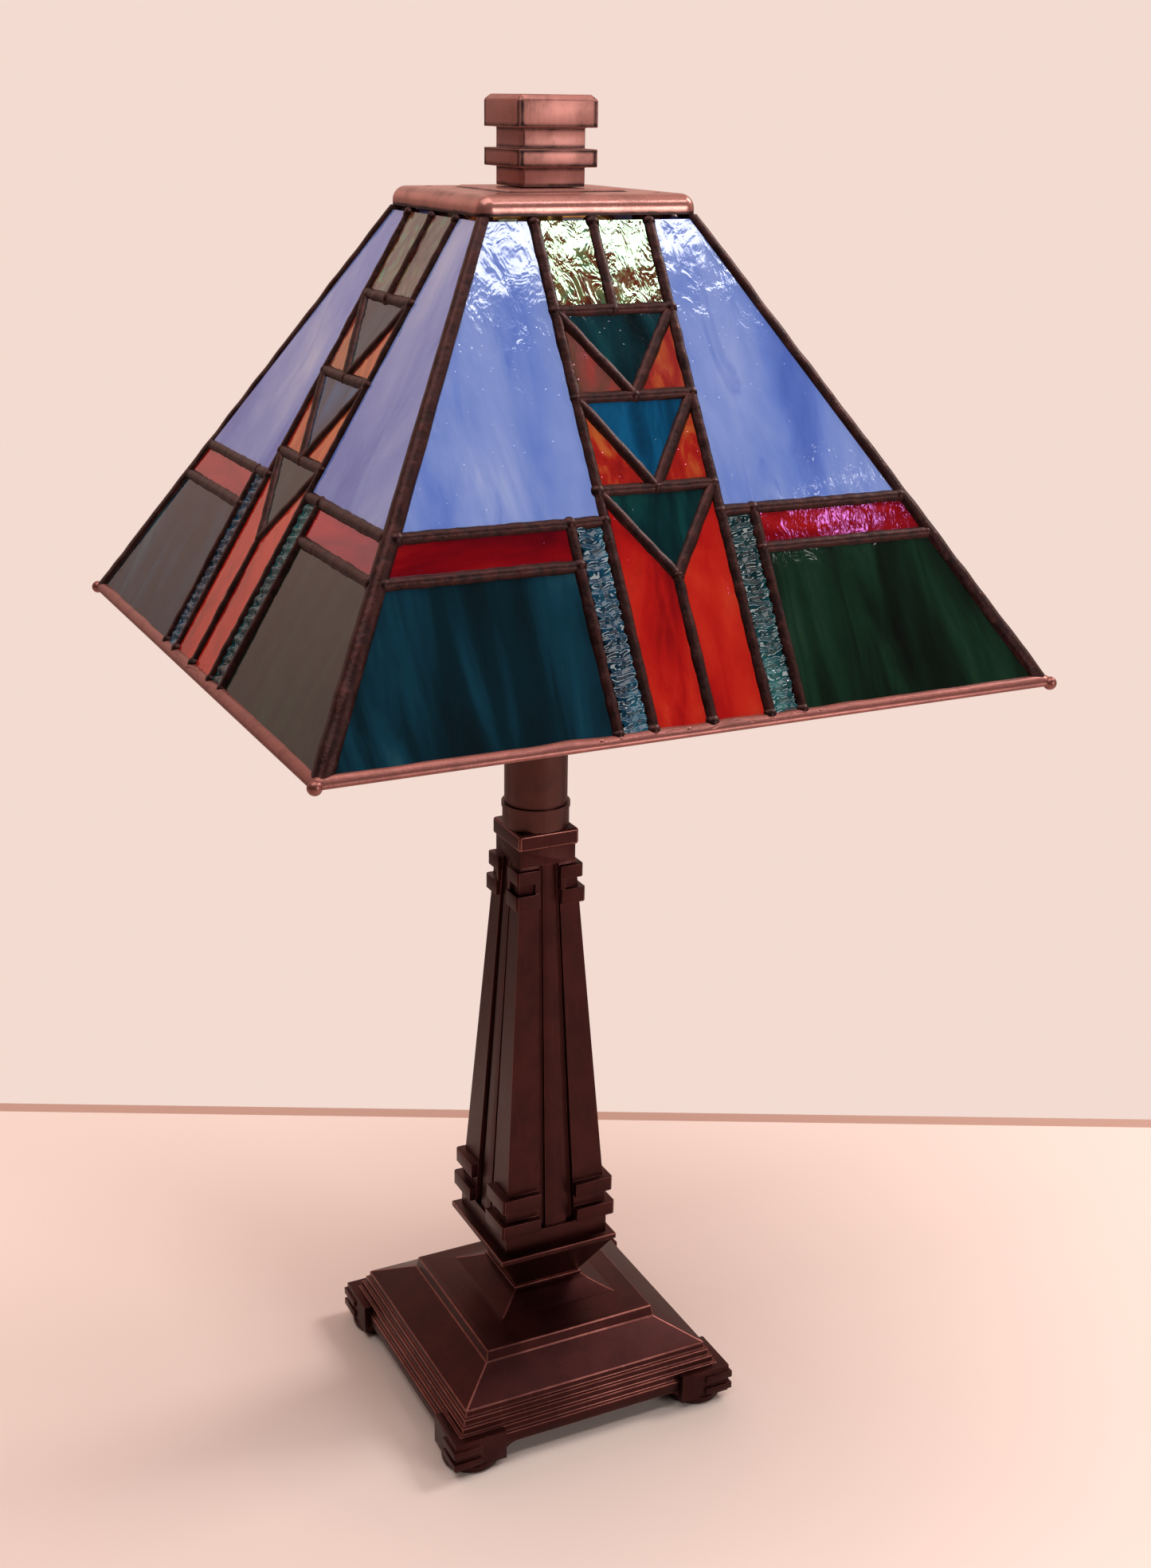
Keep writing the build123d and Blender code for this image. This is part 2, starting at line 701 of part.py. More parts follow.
def make_finial():
    """Stack of square blocks, narrow and wide in turn, with a bevelled head."""
    halves = [finial_narrow, finial_wide, finial_narrow, finial_wide]
    low = finial_bottom
    finial = None
    for half, height in zip(halves, finial_steps):
        step = block(-half, half, -half, half, low, low + height)
        finial = step if finial is None else finial + step
        low += height
    finial = chamfer(finial.edges().group_by(Axis.Z)[-1], finial_bevel)
    finial -= tube(felt_radius + slip, 0, finial_bottom - 1, insert_bottom)
    finial -= tube(insert_radius, 0, insert_bottom - 0.01, insert_bottom + insert_height)
    return finial


shade_cap = make_shade_cap()
cap_washer = tube(cap_washer_radius, stud_radius + running, cap_washer_bottom, plateau_under)
finial_felt = tube(felt_radius, stud_radius + free_play, felt_bottom, insert_bottom)
finial_insert = tube(insert_radius, stud_radius + running, insert_bottom, insert_bottom + insert_height)
finial_block = make_finial()

# ------------------------------------------------------------------ the files
nodes = {
    "base_casting": base_casting, "corner_feet": corner_feet, "foot_pads": corner_copies(foot_pad),
    "ballast_plate": ballast_plate,
    "base_washer": base_washer, "base_nut": base_nut, "lamp_pipe": lamp_pipe, "pipe_bushing": pipe_bushing,
    "column_pedestal": column_pedestal, "column_shaft": column_shaft, "column_cap": column_cap,
    "seating_cup": seating_cup, "riser_sleeve": riser_sleeve, "harp_saddle": harp_saddle,
    "harp_wire": harp_wire, "harp_seat": harp_seat, "harp_ferrule_left": make_ferrule(-1),
    "harp_ferrule_right": make_ferrule(1), "socket_cap": socket_cap, "socket_shell": socket_shell,
    "socket_liner": socket_liner, "socket_block": socket_block, "screw_shell": screw_shell,
    "contact_tab": contact_tab, "switch_stem": switch_stem, "switch_knob": switch_knob,
    "bulb_globe": bulb_globe, "bulb_screw_base": bulb_screw_base, "bulb_contact": bulb_contact,
    "shade_cap": shade_cap, "cap_washer": cap_washer, "finial_felt": finial_felt,
    "finial_insert": finial_insert, "finial_block": finial_block,
    "hip_seams": hip_seams - corner_balls, "rim_channels": rim_channels - corner_balls,
    "corner_balls": corner_balls,
}
for turn, side in enumerate(sides):
    nodes[f"solder_lattice_{side}"] = Rot(0, 0, 90 * turn) * lattice
    for kind in ("blue", "red", "dark"):
        panes = [Rot(0, 0, 90 * turn) * pane(outline, glass_thickness) for outline in outlines[kind]]
        nodes[f"{kind}_glass_{side}"] = Compound(children=panes)
for kind in ("iridescent", "teal", "amber", "flame", "ripple"):
    one_side = [pane(outline, glass_thickness) for outline in outlines[kind]]
    nodes[f"{kind}_glass"] = Compound(children=[
        Rot(0, 0, 90 * turn) * piece for turn in range(4) for piece in one_side
    ])
for name, shape in nodes.items():
    save(name, shape)
print(len(nodes), "nodes; slant", round(slant, 2), "height", round(finial_bottom + sum(finial_steps), 2))
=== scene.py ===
# %% [markdown]
# # A square leaded-glass table lamp
# The imported CAD model holds the lamp at its true size and place. This script dresses it:
# it reads where each part is, builds the bevelled castings, the glass panes and the solder
# round that model, and gives every surface a finish made of shader nodes.

# %% Load the imported model
import math
import random

import bmesh
import bpy
from mathutils import Matrix, Vector, noise


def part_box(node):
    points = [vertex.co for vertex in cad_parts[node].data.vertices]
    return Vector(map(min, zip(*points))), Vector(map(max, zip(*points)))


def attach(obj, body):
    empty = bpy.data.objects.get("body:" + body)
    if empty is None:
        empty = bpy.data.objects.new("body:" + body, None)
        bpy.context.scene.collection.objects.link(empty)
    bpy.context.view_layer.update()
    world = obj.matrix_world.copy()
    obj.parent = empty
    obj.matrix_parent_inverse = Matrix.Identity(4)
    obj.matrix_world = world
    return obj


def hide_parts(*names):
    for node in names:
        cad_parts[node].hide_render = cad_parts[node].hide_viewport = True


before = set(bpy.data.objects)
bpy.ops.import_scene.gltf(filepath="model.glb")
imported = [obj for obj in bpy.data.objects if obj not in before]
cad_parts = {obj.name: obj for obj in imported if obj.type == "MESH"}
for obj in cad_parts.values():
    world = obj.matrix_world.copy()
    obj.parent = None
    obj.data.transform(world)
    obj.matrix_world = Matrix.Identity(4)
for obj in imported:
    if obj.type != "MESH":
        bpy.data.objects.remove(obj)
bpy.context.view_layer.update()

MM = 0.001


# %% [markdown]
# ## Shader maths that reads like arithmetic
# A procedural finish is a sum of patterns. Wiring each Math node by hand hides the idea,
# so one small class wraps a socket and turns + - * into nodes, and one method makes every
# other kind of node from its type, its settings and its inputs.

# %% Values and finishes
class Value:
    """One output socket of a node tree, used in formulas."""

    def __init__(self, owner, socket):
        self.owner = owner
        self.socket = socket

    def math(self, operation, other=0.0, swapped=False):
        pair = (other, self) if swapped else (self, other)
        return self.owner.node("ShaderNodeMath", {"operation": operation}, dict(enumerate(pair)))[0]

    def __add__(self, other):
        return self.math("ADD", other)

    def __sub__(self, other):
        return self.math("SUBTRACT", other)

    def __rsub__(self, other):
        return self.math("SUBTRACT", other, True)

    def __mul__(self, other):
        return self.math("MULTIPLY", other)

    __radd__ = __add__
    __rmul__ = __mul__

    def __abs__(self):
        return self.math("ABSOLUTE")

    def above(self, low, high):
        """0 below low, 1 above high, and smooth in between; low may be the larger one."""
        return self.owner.node(
            "ShaderNodeMapRange", {"interpolation_type": "SMOOTHSTEP"},
            {"Value": self, "From Min": low, "From Max": high})[0]

    def near(self, middle, width):
        """1 at the middle value, fading to 0 at that width away from it."""
        return abs(self - middle).above(width, 0.0)


class Recipe:
    """A node tree that is written as formulas."""

    def __init__(self, tree):
        self.tree = tree

    def feed(self, node, inputs):
        for key, value in inputs.items():
            if isinstance(value, Value):
                self.tree.links.new(value.socket, node.inputs[key])
            else:
                node.inputs[key].default_value = value

    def node(self, kind, settings=None, inputs=None):
        """Any node: settings first, then values or links of its inputs; gives its outputs."""
        made = self.tree.nodes.new(kind)
        for key, value in (settings or {}).items():
            if key == "stops":
                ramp = made.color_ramp
                while len(ramp.elements) < len(value):
                    ramp.elements.new(1.0)
                for element, (place, color) in zip(ramp.elements, value):
                    element.position = place
                    element.color = color
            else:
                setattr(made, key, value)
        self.feed(made, inputs or {})
        return [Value(self, socket) for socket in made.outputs]

    def scaled(self, vector, scale):
        return self.node("ShaderNodeVectorMath", {"operation": "MULTIPLY"}, {0: vector, 1: scale})[0]

    def place(self, scale=(1, 1, 1)):
        """Where a point of the piece is, in metres, stretched by a scale for each axis."""
        return self.scaled(self.node("ShaderNodeTexCoord")[3], scale)

    def sheet(self, scale=(1, 1, 1)):
        """Where a point lies on its glass pane: metres across and along the slant."""
        return self.scaled(self.node("ShaderNodeUVMap", {"uv_map": "pane"})[0], scale)

    def split(self, vector):
        return self.node("ShaderNodeSeparateXYZ", None, {0: vector})

    def attribute(self, name):
        return self.node("ShaderNodeAttribute", {"attribute_name": name})[2]

    def noise(self, vector, scale, detail=3.0, rough=0.5, bend=0.0):
        inputs = {"Vector": vector, "Scale": scale, "Detail": detail, "Roughness": rough, "Distortion": bend}
        return self.node("ShaderNodeTexNoise", None, inputs)[0]

    def dots(self, vector, scale):
        """Distance from the nearest of many scattered points, in cells."""
        return self.node("ShaderNodeTexVoronoi", None, {"Vector": vector, "Scale": scale})[0]

    def mix(self, factor, first, second):
        settings = {"data_type": "RGBA"}
        return self.node("ShaderNodeMix", settings, {0: factor, 6: first, 7: second})[2]

    def ramp(self, value, stops):
        return self.node("ShaderNodeValToRGB", {"stops": stops}, {0: value})[0]

    def bump(self, height):
        """Turns a height in metres into a bent normal."""
        return self.node("ShaderNodeBump", None, {"Strength": 1.0, "Distance": 1.0, "Height": height})[0]


class Finish(Recipe):
    """A material with one Principled shader and whatever nodes feed it."""

    def __init__(self, name):
        self.material = bpy.data.materials.new(name)
        self.material.use_nodes = True
        super().__init__(self.material.node_tree)
        self.tree.nodes.clear()
        output = self.tree.nodes.new("ShaderNodeOutputMaterial")
        self.shader = self.tree.nodes.new("ShaderNodeBsdfPrincipled")
        self.tree.links.new(self.shader.outputs[0], output.inputs[0])

    def set(self, **inputs):
        self.feed(self.shader, {key.replace("_", " "): value for key, value in inputs.items()})


def linear(shown):
    """One channel as a screen shows it, 0 to 255, as the linear value that shaders use."""
    return ((shown / 255 + 0.055) / 1.055) ** 2.4 if shown > 10 else shown / 3295


def screen(red, green, blue):
    """A colour as it shows on a screen, in linear values and opaque."""
    return linear(red), linear(green), linear(blue), 1.0


print("maths ready")


# %% [markdown]
# ## Cast bronze
# The base and column are castings with a dark brown lacquer. Their crests are lighter,
# pinker and smoother: partly rubbed wear, partly a painted highlight along the edges. A
# bevelled copy of each casting gives its crests a material slot of their own, so that
# lighter line follows the real edge at any distance.

# %% Bronze finishes
def bronze(name, body, streak, roughness):
    f = Finish(name)
    cloud = f.noise(f.place(), 70.0, 4.0, 0.6)
    drawn = f.noise(f.place((1, 1, 0.12)), 900.0, 2.0)
    grain = f.noise(f.place(), 1600.0, 2.0)
    tint = cloud.above(0.35, 0.7) * 0.6 + drawn.above(0.5, 0.8) * 0.4
    f.set(
        Base_Color=f.mix(tint, body, streak), Metallic=0.85, Roughness=roughness + cloud * 0.16,
        Coat_Weight=0.04, Coat_Roughness=0.3,
        Normal=f.bump(grain * 0.00003 + cloud * 0.00012 + drawn * 0.00002))
    return f.material


dark_bronze = bronze("dark_bronze", screen(47, 14, 12), screen(66, 24, 21), 0.34)
# The crest finish: lighter and pinker, partly rubbed wear and partly a painted highlight along the edges.
worn_and_highlight_bronze = bronze("worn_and_highlight_bronze", screen(104, 58, 52), screen(146, 92, 84), 0.26)
print("bronze", dark_bronze.name, worn_and_highlight_bronze.name)


# %% [markdown]
# ## Antique copper
# The finial, the shade's cap and the tube are copper-plated and rubbed back, so their
# flats are pinkish copper, the tube's much darker, and the dark patina stays along the
# lines where a cloth doesn't reach. The finial's upright corners and bevelled crests are
# also darker, a painted shade along its edges, and the cap is darker in a band on its
# rolled edge and along its lowest edge. Distances from those lines are worked out from
# the object's own coordinates, which needs no painted mask.

# %% Copper finish
def copper(name, rubbed, dark, lines=None, roughness=0.36, bright=screen(190, 132, 122)):
    f = Finish(name)
    cloud = f.noise(f.place(), 110.0, 5.0, 0.62)
    specks = f.dots(f.place(), 900.0).above(0.22, 0.05)
    brushed = f.noise(f.place((1, 1, 0.08)), 1500.0, 2.0)
    patina = cloud.above(0.42, 0.75) * 0.35 + specks * 0.35
    if lines:
        patina = patina + lines(f, cloud)
    patina = patina.math("MINIMUM", 1.0)
    f.set(
        Base_Color=f.mix(patina, f.mix(brushed * 0.5, rubbed, bright), dark), Metallic=0.6,
        Roughness=roughness + patina * 0.2 + brushed * 0.08,
        Normal=f.bump(brushed * 0.00002 + cloud * 0.00008))
    return f.material


cap_low, cap_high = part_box("shade_cap")
finial_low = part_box("finial_block")[0]
raised_half = 21.2 * MM
block_half = 12.9 * MM
block_heights = (6.1 * MM, 5.6 * MM, 6.5 * MM)
step_levels = [finial_low.z + sum(block_heights[:n]) for n in range(4)]


def cap_lines(f, cloud):
    """Patina round its raised middle; darker in a band on the pan's rolled edge and along the cap's lowest
    edge.
    """
    x, y, z = f.split(f.place())
    out = abs(x).math("MAXIMUM", abs(y))
    reached = out.above(cap_high.x - 6 * MM, cap_high.x - 2.5 * MM)
    passed = out.above(cap_high.x - 2 * MM, cap_high.x - 0.6 * MM)
    rolled = reached * (1.0 - passed)
    middle = out.near(raised_half, 1.4 * MM)
    low = z.above(cap_low.z + 1.6 * MM, cap_low.z + 0.2 * MM)
    return (rolled * 0.3 + middle * 1.1 + low * 1.2) * (0.5 + cloud)


def finial_lines(f, cloud):
    """Patina along the top and bottom of each block, and painted shade along the finial's upright corners."""
    x, y, z = f.split(f.place())
    lines = 0.0
    for level in step_levels:
        lines = z.near(level, 1.7 * MM) + lines
    # Painted shade: darker along each block's upright corners.
    across = abs(x).math("MINIMUM", abs(y))
    wide = across.near(block_half, 1.1 * MM)
    return (lines * 1.1 + wide * 0.8) * (0.45 + cloud)


cap_copper = copper("cap_copper", screen(176, 118, 108), screen(40, 19, 17), cap_lines, 0.22)
finial_copper = copper("finial_copper", screen(154, 98, 90), screen(38, 19, 17), finial_lines)
# A darker copper for the finial's bevelled crests: painted shade along its edges.
finial_shaded_crest = copper("finial_shaded_crest", screen(132, 80, 72), screen(56, 29, 26))
tube_copper = copper("tube_copper", screen(66, 28, 23), screen(36, 15, 13), None, 0.3, screen(92, 46, 38))
rim_copper = copper("rim_copper", screen(118, 64, 58), screen(50, 24, 21), None, 0.28, screen(176, 116, 106))
print("copper", [m.name for m in (cap_copper, finial_copper, finial_shaded_crest, tube_copper, rim_copper)])


# %% [markdown]
# ## Solder, brass and the small fittings
# The lead lines are solder with a copper-brown patina: lumpy, and brightest on their
# crowns. The harp, saddle and socket are plain brass. The rest is what a lamp hides:
# zinc-plated nuts, a black iron weight, felt, fibre and moulded plastic.

# %% Fitting finishes
def metal(name, first, second, metallic, roughness, grain, lump=0.0):
    f = Finish(name)
    cloud = f.noise(f.place(), grain, 4.0, 0.6)
    fine = f.noise(f.place(), grain * 9, 2.0)
    f.set(
        Base_Color=f.mix(cloud.above(0.3, 0.7), first, second), Metallic=metallic,
        Roughness=roughness + fine * 0.15, Normal=f.bump(cloud * lump + fine * 0.00001))
    return f.material


def matt(name, first, second, roughness, grain, lump):
    f = Finish(name)
    cloud = f.noise(f.place(), grain, 5.0, 0.7)
    f.set(Base_Color=f.mix(cloud, first, second), Roughness=roughness, Normal=f.bump(cloud * lump))
    return f.material


solder = metal("patina_solder", screen(30, 10, 9), screen(58, 25, 22), 0.75, 0.34, 300.0, 0.0003)
brass = metal("plain_brass", screen(186, 150, 88), screen(150, 116, 62), 1.0, 0.24, 160.0, 0.00004)
zinc = metal("zinc_plate", screen(176, 176, 172), screen(128, 130, 130), 1.0, 0.34, 300.0, 0.00003)
bulb_metal = metal("bulb_metal", screen(206, 206, 202), screen(170, 172, 172), 1.0, 0.2, 200.0, 0.00002)
iron = matt("black_iron", screen(34, 34, 35), screen(52, 50, 50), 0.62, 900.0, 0.00012)
felt = matt("felt", screen(28, 27, 27), screen(62, 58, 56), 0.95, 2600.0, 0.0002)
plastic = matt("moulded_plastic", screen(22, 21, 21), screen(34, 32, 32), 0.38, 700.0, 0.00002)
phenolic = matt("phenolic", screen(66, 36, 24), screen(92, 54, 36), 0.42, 500.0, 0.00003)
fibre = matt("fibre", screen(150, 134, 112), screen(176, 160, 136), 0.85, 1200.0, 0.00008)
print("fittings", [m.name for m in (solder, brass, zinc, iron, felt, plastic, phenolic, fibre)])

# %% Frosted bulb glass
frost = Finish("frosted_bulb")
frost_cloud = frost.noise(frost.place(), 900.0, 3.0)
frost.set(
    Base_Color=frost.mix(frost_cloud, screen(238, 236, 230), screen(250, 249, 246)),
    Roughness=0.3 + frost_cloud * 0.08, Coat_Weight=0.4, Coat_Roughness=0.1,
    Normal=frost.bump(frost_cloud * 0.00001))
frosted_bulb = frost.material
print("bulb", frosted_bulb.name)


# %% [markdown]
# ## Opalescent glass
# Art glass is rolled from several melts, so each sheet carries streaks that run one way,
# soft clouds where the opal is thicker, and a surface that is glossy but never flat.
# The colours come from stretched noise in the pane's own coordinates; in the iridescent
# amber the olive-green patches of colour are a painted sheen. The gloss is one smooth
# reflection, broken up by a bump of four sizes: slow waves, short ripples, a fine grain
# and tiny seeds. The warm sheets also carry the thin film that makes them iridescent.

# %% The glass recipe
def glass(name, paint, waves=1.0, ripples=1.0, film=0.0, bend=1.5):
    """paint(f, turn, tone) gives the colour, film is in nanometres, bend bends the light."""
    f = Finish(name)
    turn = f.attribute("turn")
    tone = f.attribute("tone")
    f.set(Base_Color=paint(f, turn, tone))
    slow = f.noise(f.sheet(), 34.0, 2.0, 0.5)
    short = f.noise(f.sheet((1, 0.55, 1)), 150.0, 3.0, 0.55, 1.2)
    fine = f.noise(f.sheet((1, 0.5, 1)), 420.0, 2.0)
    seeds = f.dots(f.sheet(), 330.0).above(0.12, 0.0)
    relief = slow * (0.0004 * waves) + short * (0.00012 * ripples) + fine * (0.000022 * ripples)
    relief = relief + seeds * 0.00003
    f.set(Normal=f.bump(relief), Roughness=0.07, IOR=bend, Transmission_Weight=0.06)
    if film:
        f.set(Thin_Film_Thickness=film, Thin_Film_IOR=1.9)
    return f.material


def streaks(f, across, along, scale, bend, turn):
    """Noise drawn out along the slant, different in each pane."""
    apart = f.node("ShaderNodeCombineXYZ", None, {2: turn * 7.0})[0]
    sheet = f.sheet((across, along, 1))
    moved = f.node("ShaderNodeVectorMath", {"operation": "ADD"}, {0: sheet, 1: apart})[0]
    return f.noise(moved, scale, 4.0, 0.55, bend)


def paint_blue(f, turn, tone):
    wisp = streaks(f, 1.0, 0.30, 30.0, 0.9, turn)
    vein = streaks(f, 1.0, 0.22, 60.0, 1.6, turn + 0.37)
    cloud = streaks(f, 1.0, 0.8, 14.0, 0.4, turn + 0.7)
    base = f.ramp(wisp * 0.65 + cloud * 0.35, [
        (0.30, screen(64, 90, 176)), (0.44, screen(98, 126, 202)), (0.58, screen(132, 154, 214)),
        (0.72, screen(178, 190, 224))])
    return f.mix(vein.above(0.58, 0.76) * 0.55, base, screen(70, 100, 190))


def paint_teal(f, turn, tone):
    vein = streaks(f, 1.0, 0.25, 70.0, 1.0, turn)
    green = f.ramp(vein, [(0.3, screen(4, 18, 18)), (0.5, screen(9, 42, 42)), (0.7, screen(16, 66, 58))])
    blue = f.ramp(vein, [(0.3, screen(5, 32, 52)), (0.5, screen(8, 68, 106)), (0.7, screen(18, 92, 138))])
    return f.mix(tone, green, blue)


def paint_dark(f, turn, tone):
    vein = streaks(f, 1.0, 0.16, 62.0, 0.8, turn)
    cloud = streaks(f, 1.0, 0.4, 26.0, 0.6, turn + 0.5)
    streaky = vein * 0.7 + cloud * 0.3
    blue = f.ramp(streaky, [
        (0.34, screen(8, 18, 22)), (0.48, screen(8, 34, 44)), (0.58, screen(14, 54, 72)),
        (0.70, screen(44, 92, 102))])
    green = f.ramp(streaky, [
        (0.36, screen(10, 15, 12)), (0.50, screen(13, 29, 21)), (0.60, screen(20, 46, 32)),
        (0.70, screen(40, 60, 44))])
    return f.mix(tone, blue, green)


def paint_red(f, turn, tone):
    vein = streaks(f, 0.3, 1.0, 60.0, 0.8, turn)
    return f.ramp(vein, [(0.34, screen(78, 4, 5)), (0.5, screen(124, 7, 7)), (0.66, screen(156, 24, 18))])


def paint_flame(f, turn, tone):
    vein = streaks(f, 1.0, 0.35, 55.0, 1.4, turn)
    cloud = streaks(f, 1.0, 0.7, 32.0, 0.8, turn + 0.2)
    base = f.ramp(vein * 0.5 + cloud * 0.5, [
        (0.34, screen(126, 12, 9)), (0.46, screen(172, 24, 14)), (0.56, screen(190, 40, 22)),
        (0.68, screen(200, 72, 40))])
    return f.mix(vein.above(0.60, 0.72) * 0.6, base, screen(100, 12, 9))


def paint_amber(f, turn, tone):
    vein = streaks(f, 1.0, 0.5, 60.0, 2.2, turn)
    brown = f.ramp(vein, [
        (0.34, screen(84, 66, 46)), (0.5, screen(120, 70, 62)), (0.64, screen(150, 62, 54))])
    red = f.ramp(vein, [
        (0.34, screen(138, 20, 15)), (0.5, screen(168, 32, 22)), (0.66, screen(190, 96, 44))])
    return f.mix(tone, brown, red)


def paint_iridescent(f, turn, tone):
    sheen_patch = streaks(f, 1.0, 0.8, 62.0, 2.4, turn)
    edge = streaks(f, 1.0, 0.6, 120.0, 2.0, turn + 0.3)
    # The olive and green stops paint the iridescent sheen into the colour as patches.
    base = f.ramp(sheen_patch, [
        (0.34, screen(64, 18, 12)), (0.47, screen(104, 36, 22)), (0.53, screen(112, 78, 44)),
        (0.60, screen(98, 104, 62)), (0.68, screen(60, 104, 76))])
    return f.mix(edge.above(0.50, 0.62) * 0.85, base, screen(84, 20, 15))


def paint_ripple(f, turn, tone):
    vein = streaks(f, 1.0, 0.3, 90.0, 1.0, turn)
    blue = f.ramp(vein, [(0.32, screen(8, 32, 54)), (0.52, screen(18, 66, 96)), (0.7, screen(50, 106, 132))])
    green = f.ramp(vein, [(0.32, screen(8, 38, 36)), (0.52, screen(18, 70, 65)), (0.7, screen(50, 108, 94))])
    return f.mix(tone, blue, green)


glasses = {
    "blue": glass("blue_opal", paint_blue, waves=1.2, ripples=1.2, bend=1.62),
    "iridescent": glass("iridescent_amber", paint_iridescent, waves=1.3, ripples=2.6, film=219.0),
    "teal": glass("streaky_teal", paint_teal, waves=0.8, ripples=0.8),
    "amber": glass("iridescent_red", paint_amber, ripples=1.2, film=280.0),
    "flame": glass("streaky_flame", paint_flame, film=292.0),
    "ripple": glass("ripple_glass", paint_ripple, waves=0.3, ripples=0.2, bend=1.42),
    "red": glass("crimson", paint_red, ripples=1.2, film=300.0),
    "dark": glass("dark_teal", paint_dark, waves=0.9, ripples=0.8),
}
print("glasses", sorted(glasses))


# %% [markdown]
# ## The plan of one side
# All four sides of the shade are alike. A side is drawn flat, with distances across from
# its middle and along the slant from its top, and a matrix lays that drawing on the
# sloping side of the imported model. Everything below uses the same drawing, so panes and
# solder always meet.

# %% Measure the slope and draw the lead lines
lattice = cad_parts["solder_lattice_front"].data.vertices
top_level = max(v.co.z for v in lattice)
foot_level = min(v.co.z for v in lattice)
half_top = -min(v.co.y for v in lattice if v.co.z > top_level - 0.01 * MM)
half_foot = -min(v.co.y for v in lattice if v.co.z < foot_level + 0.01 * MM)
lean = (half_foot - half_top) / (top_level - foot_level)
rim_low, rim_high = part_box("rim_channels")
rise = top_level - rim_low.z
run = rise * lean
slant = math.hypot(rise, run)
foot_share = (top_level - foot_level) / rise
sides = ("front", "right", "back", "left")

inner_line = 20.0 * MM
outer_line = 31.6 * MM
cross_lines = (0.187, 0.357, 0.535, 0.705)
band_upper = 0.59
band_lower = 0.668
glass_front = -0.2 * MM
glass_back = -2.8 * MM
under_hip = 1.4 * MM
under_lead = 1.2 * MM
softened = 0.35 * MM


def on_side(turn):
    """From the flat drawing (across, up the slant, out of the face) to the model."""
    up = Vector((0, run / slant, rise / slant))
    out = Vector((0, -rise / slant, run / slant))
    flat = Matrix((Vector((1, 0, 0)), up, out)).transposed().to_4x4()
    flat.translation = Vector((0, -half_top, top_level))
    return Matrix.Rotation(math.radians(90 * turn), 4, "Z") @ flat


def edge_of(share):
    """Half width of a side, out to where the hip seam starts."""
    return half_top + run * share - (2.8 + 1.8 * share) * MM


print("slant", round(slant / MM, 2), "top half", round(half_top / MM, 2), "lean", round(lean, 4))


# %% Cells of one side
def cells_of_side():
    """(kind, hand, row, corners) for each pane; a corner is (across, share of the slant)."""
    c1, c2, c3, tip = cross_lines
    upper, lower, foot = band_upper, band_lower, foot_share
    found = []
    for row, (share, point) in enumerate(((c1, c2), (c2, c3), (c3, tip))):
        found.append(("teal", 0, row, [(-inner_line, share), (inner_line, share), (0, point)]))
    for hand in (-1, 1):
        inner, outer = hand * inner_line, hand * outer_line
        hips = [hand * (edge_of(s) + under_hip) for s in (0, upper, lower, foot)]
        found.append(("blue", hand, 0, [(hips[0], 0), (inner, 0), (inner, upper), (hips[1], upper)]))
        found.append(("iridescent", hand, 0, [(inner, 0), (0, 0), (0, c1), (inner, c1)]))
        for row, (share, point) in enumerate(((c1, c2), (c2, c3))):
            found.append(("amber", hand, row, [(inner, share), (0, point), (inner, point)]))
        found.append(("flame", hand, 0, [(inner, c3), (0, tip), (0, foot), (inner, foot)]))
        found.append(("ripple", hand, 0, [(outer, upper), (inner, upper), (inner, foot), (outer, foot)]))
        found.append(("red", hand, 0, [(hips[1], upper), (outer, upper), (outer, lower), (hips[2], lower)]))
        found.append(("dark", hand, 0, [(hips[2], lower), (outer, lower), (outer, foot), (hips[3], foot)]))
    return found


cells = cells_of_side()
print("panes on a side", len(cells))


# %% [markdown]
# ## The panes
# Each pane is its own cut piece of glass that reaches under the lead, a fraction of a
# degree off its neighbours' plane, so reflections jump from pane to pane as they do on a
# real leaded shade. Two numbers ride on each pane: a random turn, so no two look the
# same, and a tone that says which of two colourings it was cut from.

# %% Pane meshes
def shrink(points, distance):
    """A convex outline with every edge moved inwards."""
    middle = sum((Vector(p) for p in points), Vector((0, 0))) / len(points)
    lines = []
    for a, b in zip(points, points[1:] + points[:1]):
        a, b = Vector(a), Vector(b)
        inward = Vector((-(b - a).y, (b - a).x)).normalized()
        if inward.dot(middle - a) < 0:
            inward = -inward
        lines.append((a + inward * distance, b - a))
    corners = []
    for (p, d), (q, e) in zip(lines[-1:] + lines[:-1], lines):
        t = ((q - p).x * e.y - (q - p).y * e.x) / (d.x * e.y - d.y * e.x)
        corners.append(p + d * t)
    return corners


def counter_clockwise(points):
    area = sum(a.x * b.y - b.x * a.y for a, b in zip(points, points[1:] + points[:1]))
    return points if area > 0 else points[::-1]


tones = {
    ("teal", 0, 0): 0.12, ("teal", 0, 1): 0.9, ("teal", 0, 2): 0.0,
    ("amber", -1, 0): 0.1, ("amber", 1, 0): 0.75, ("amber", -1, 1): 1.0, ("amber", 1, 1): 0.95,
    ("dark", -1, 0): 0.1, ("dark", 1, 0): 0.95, ("ripple", -1, 0): 0.2, ("ripple", 1, 0): 0.7,
}


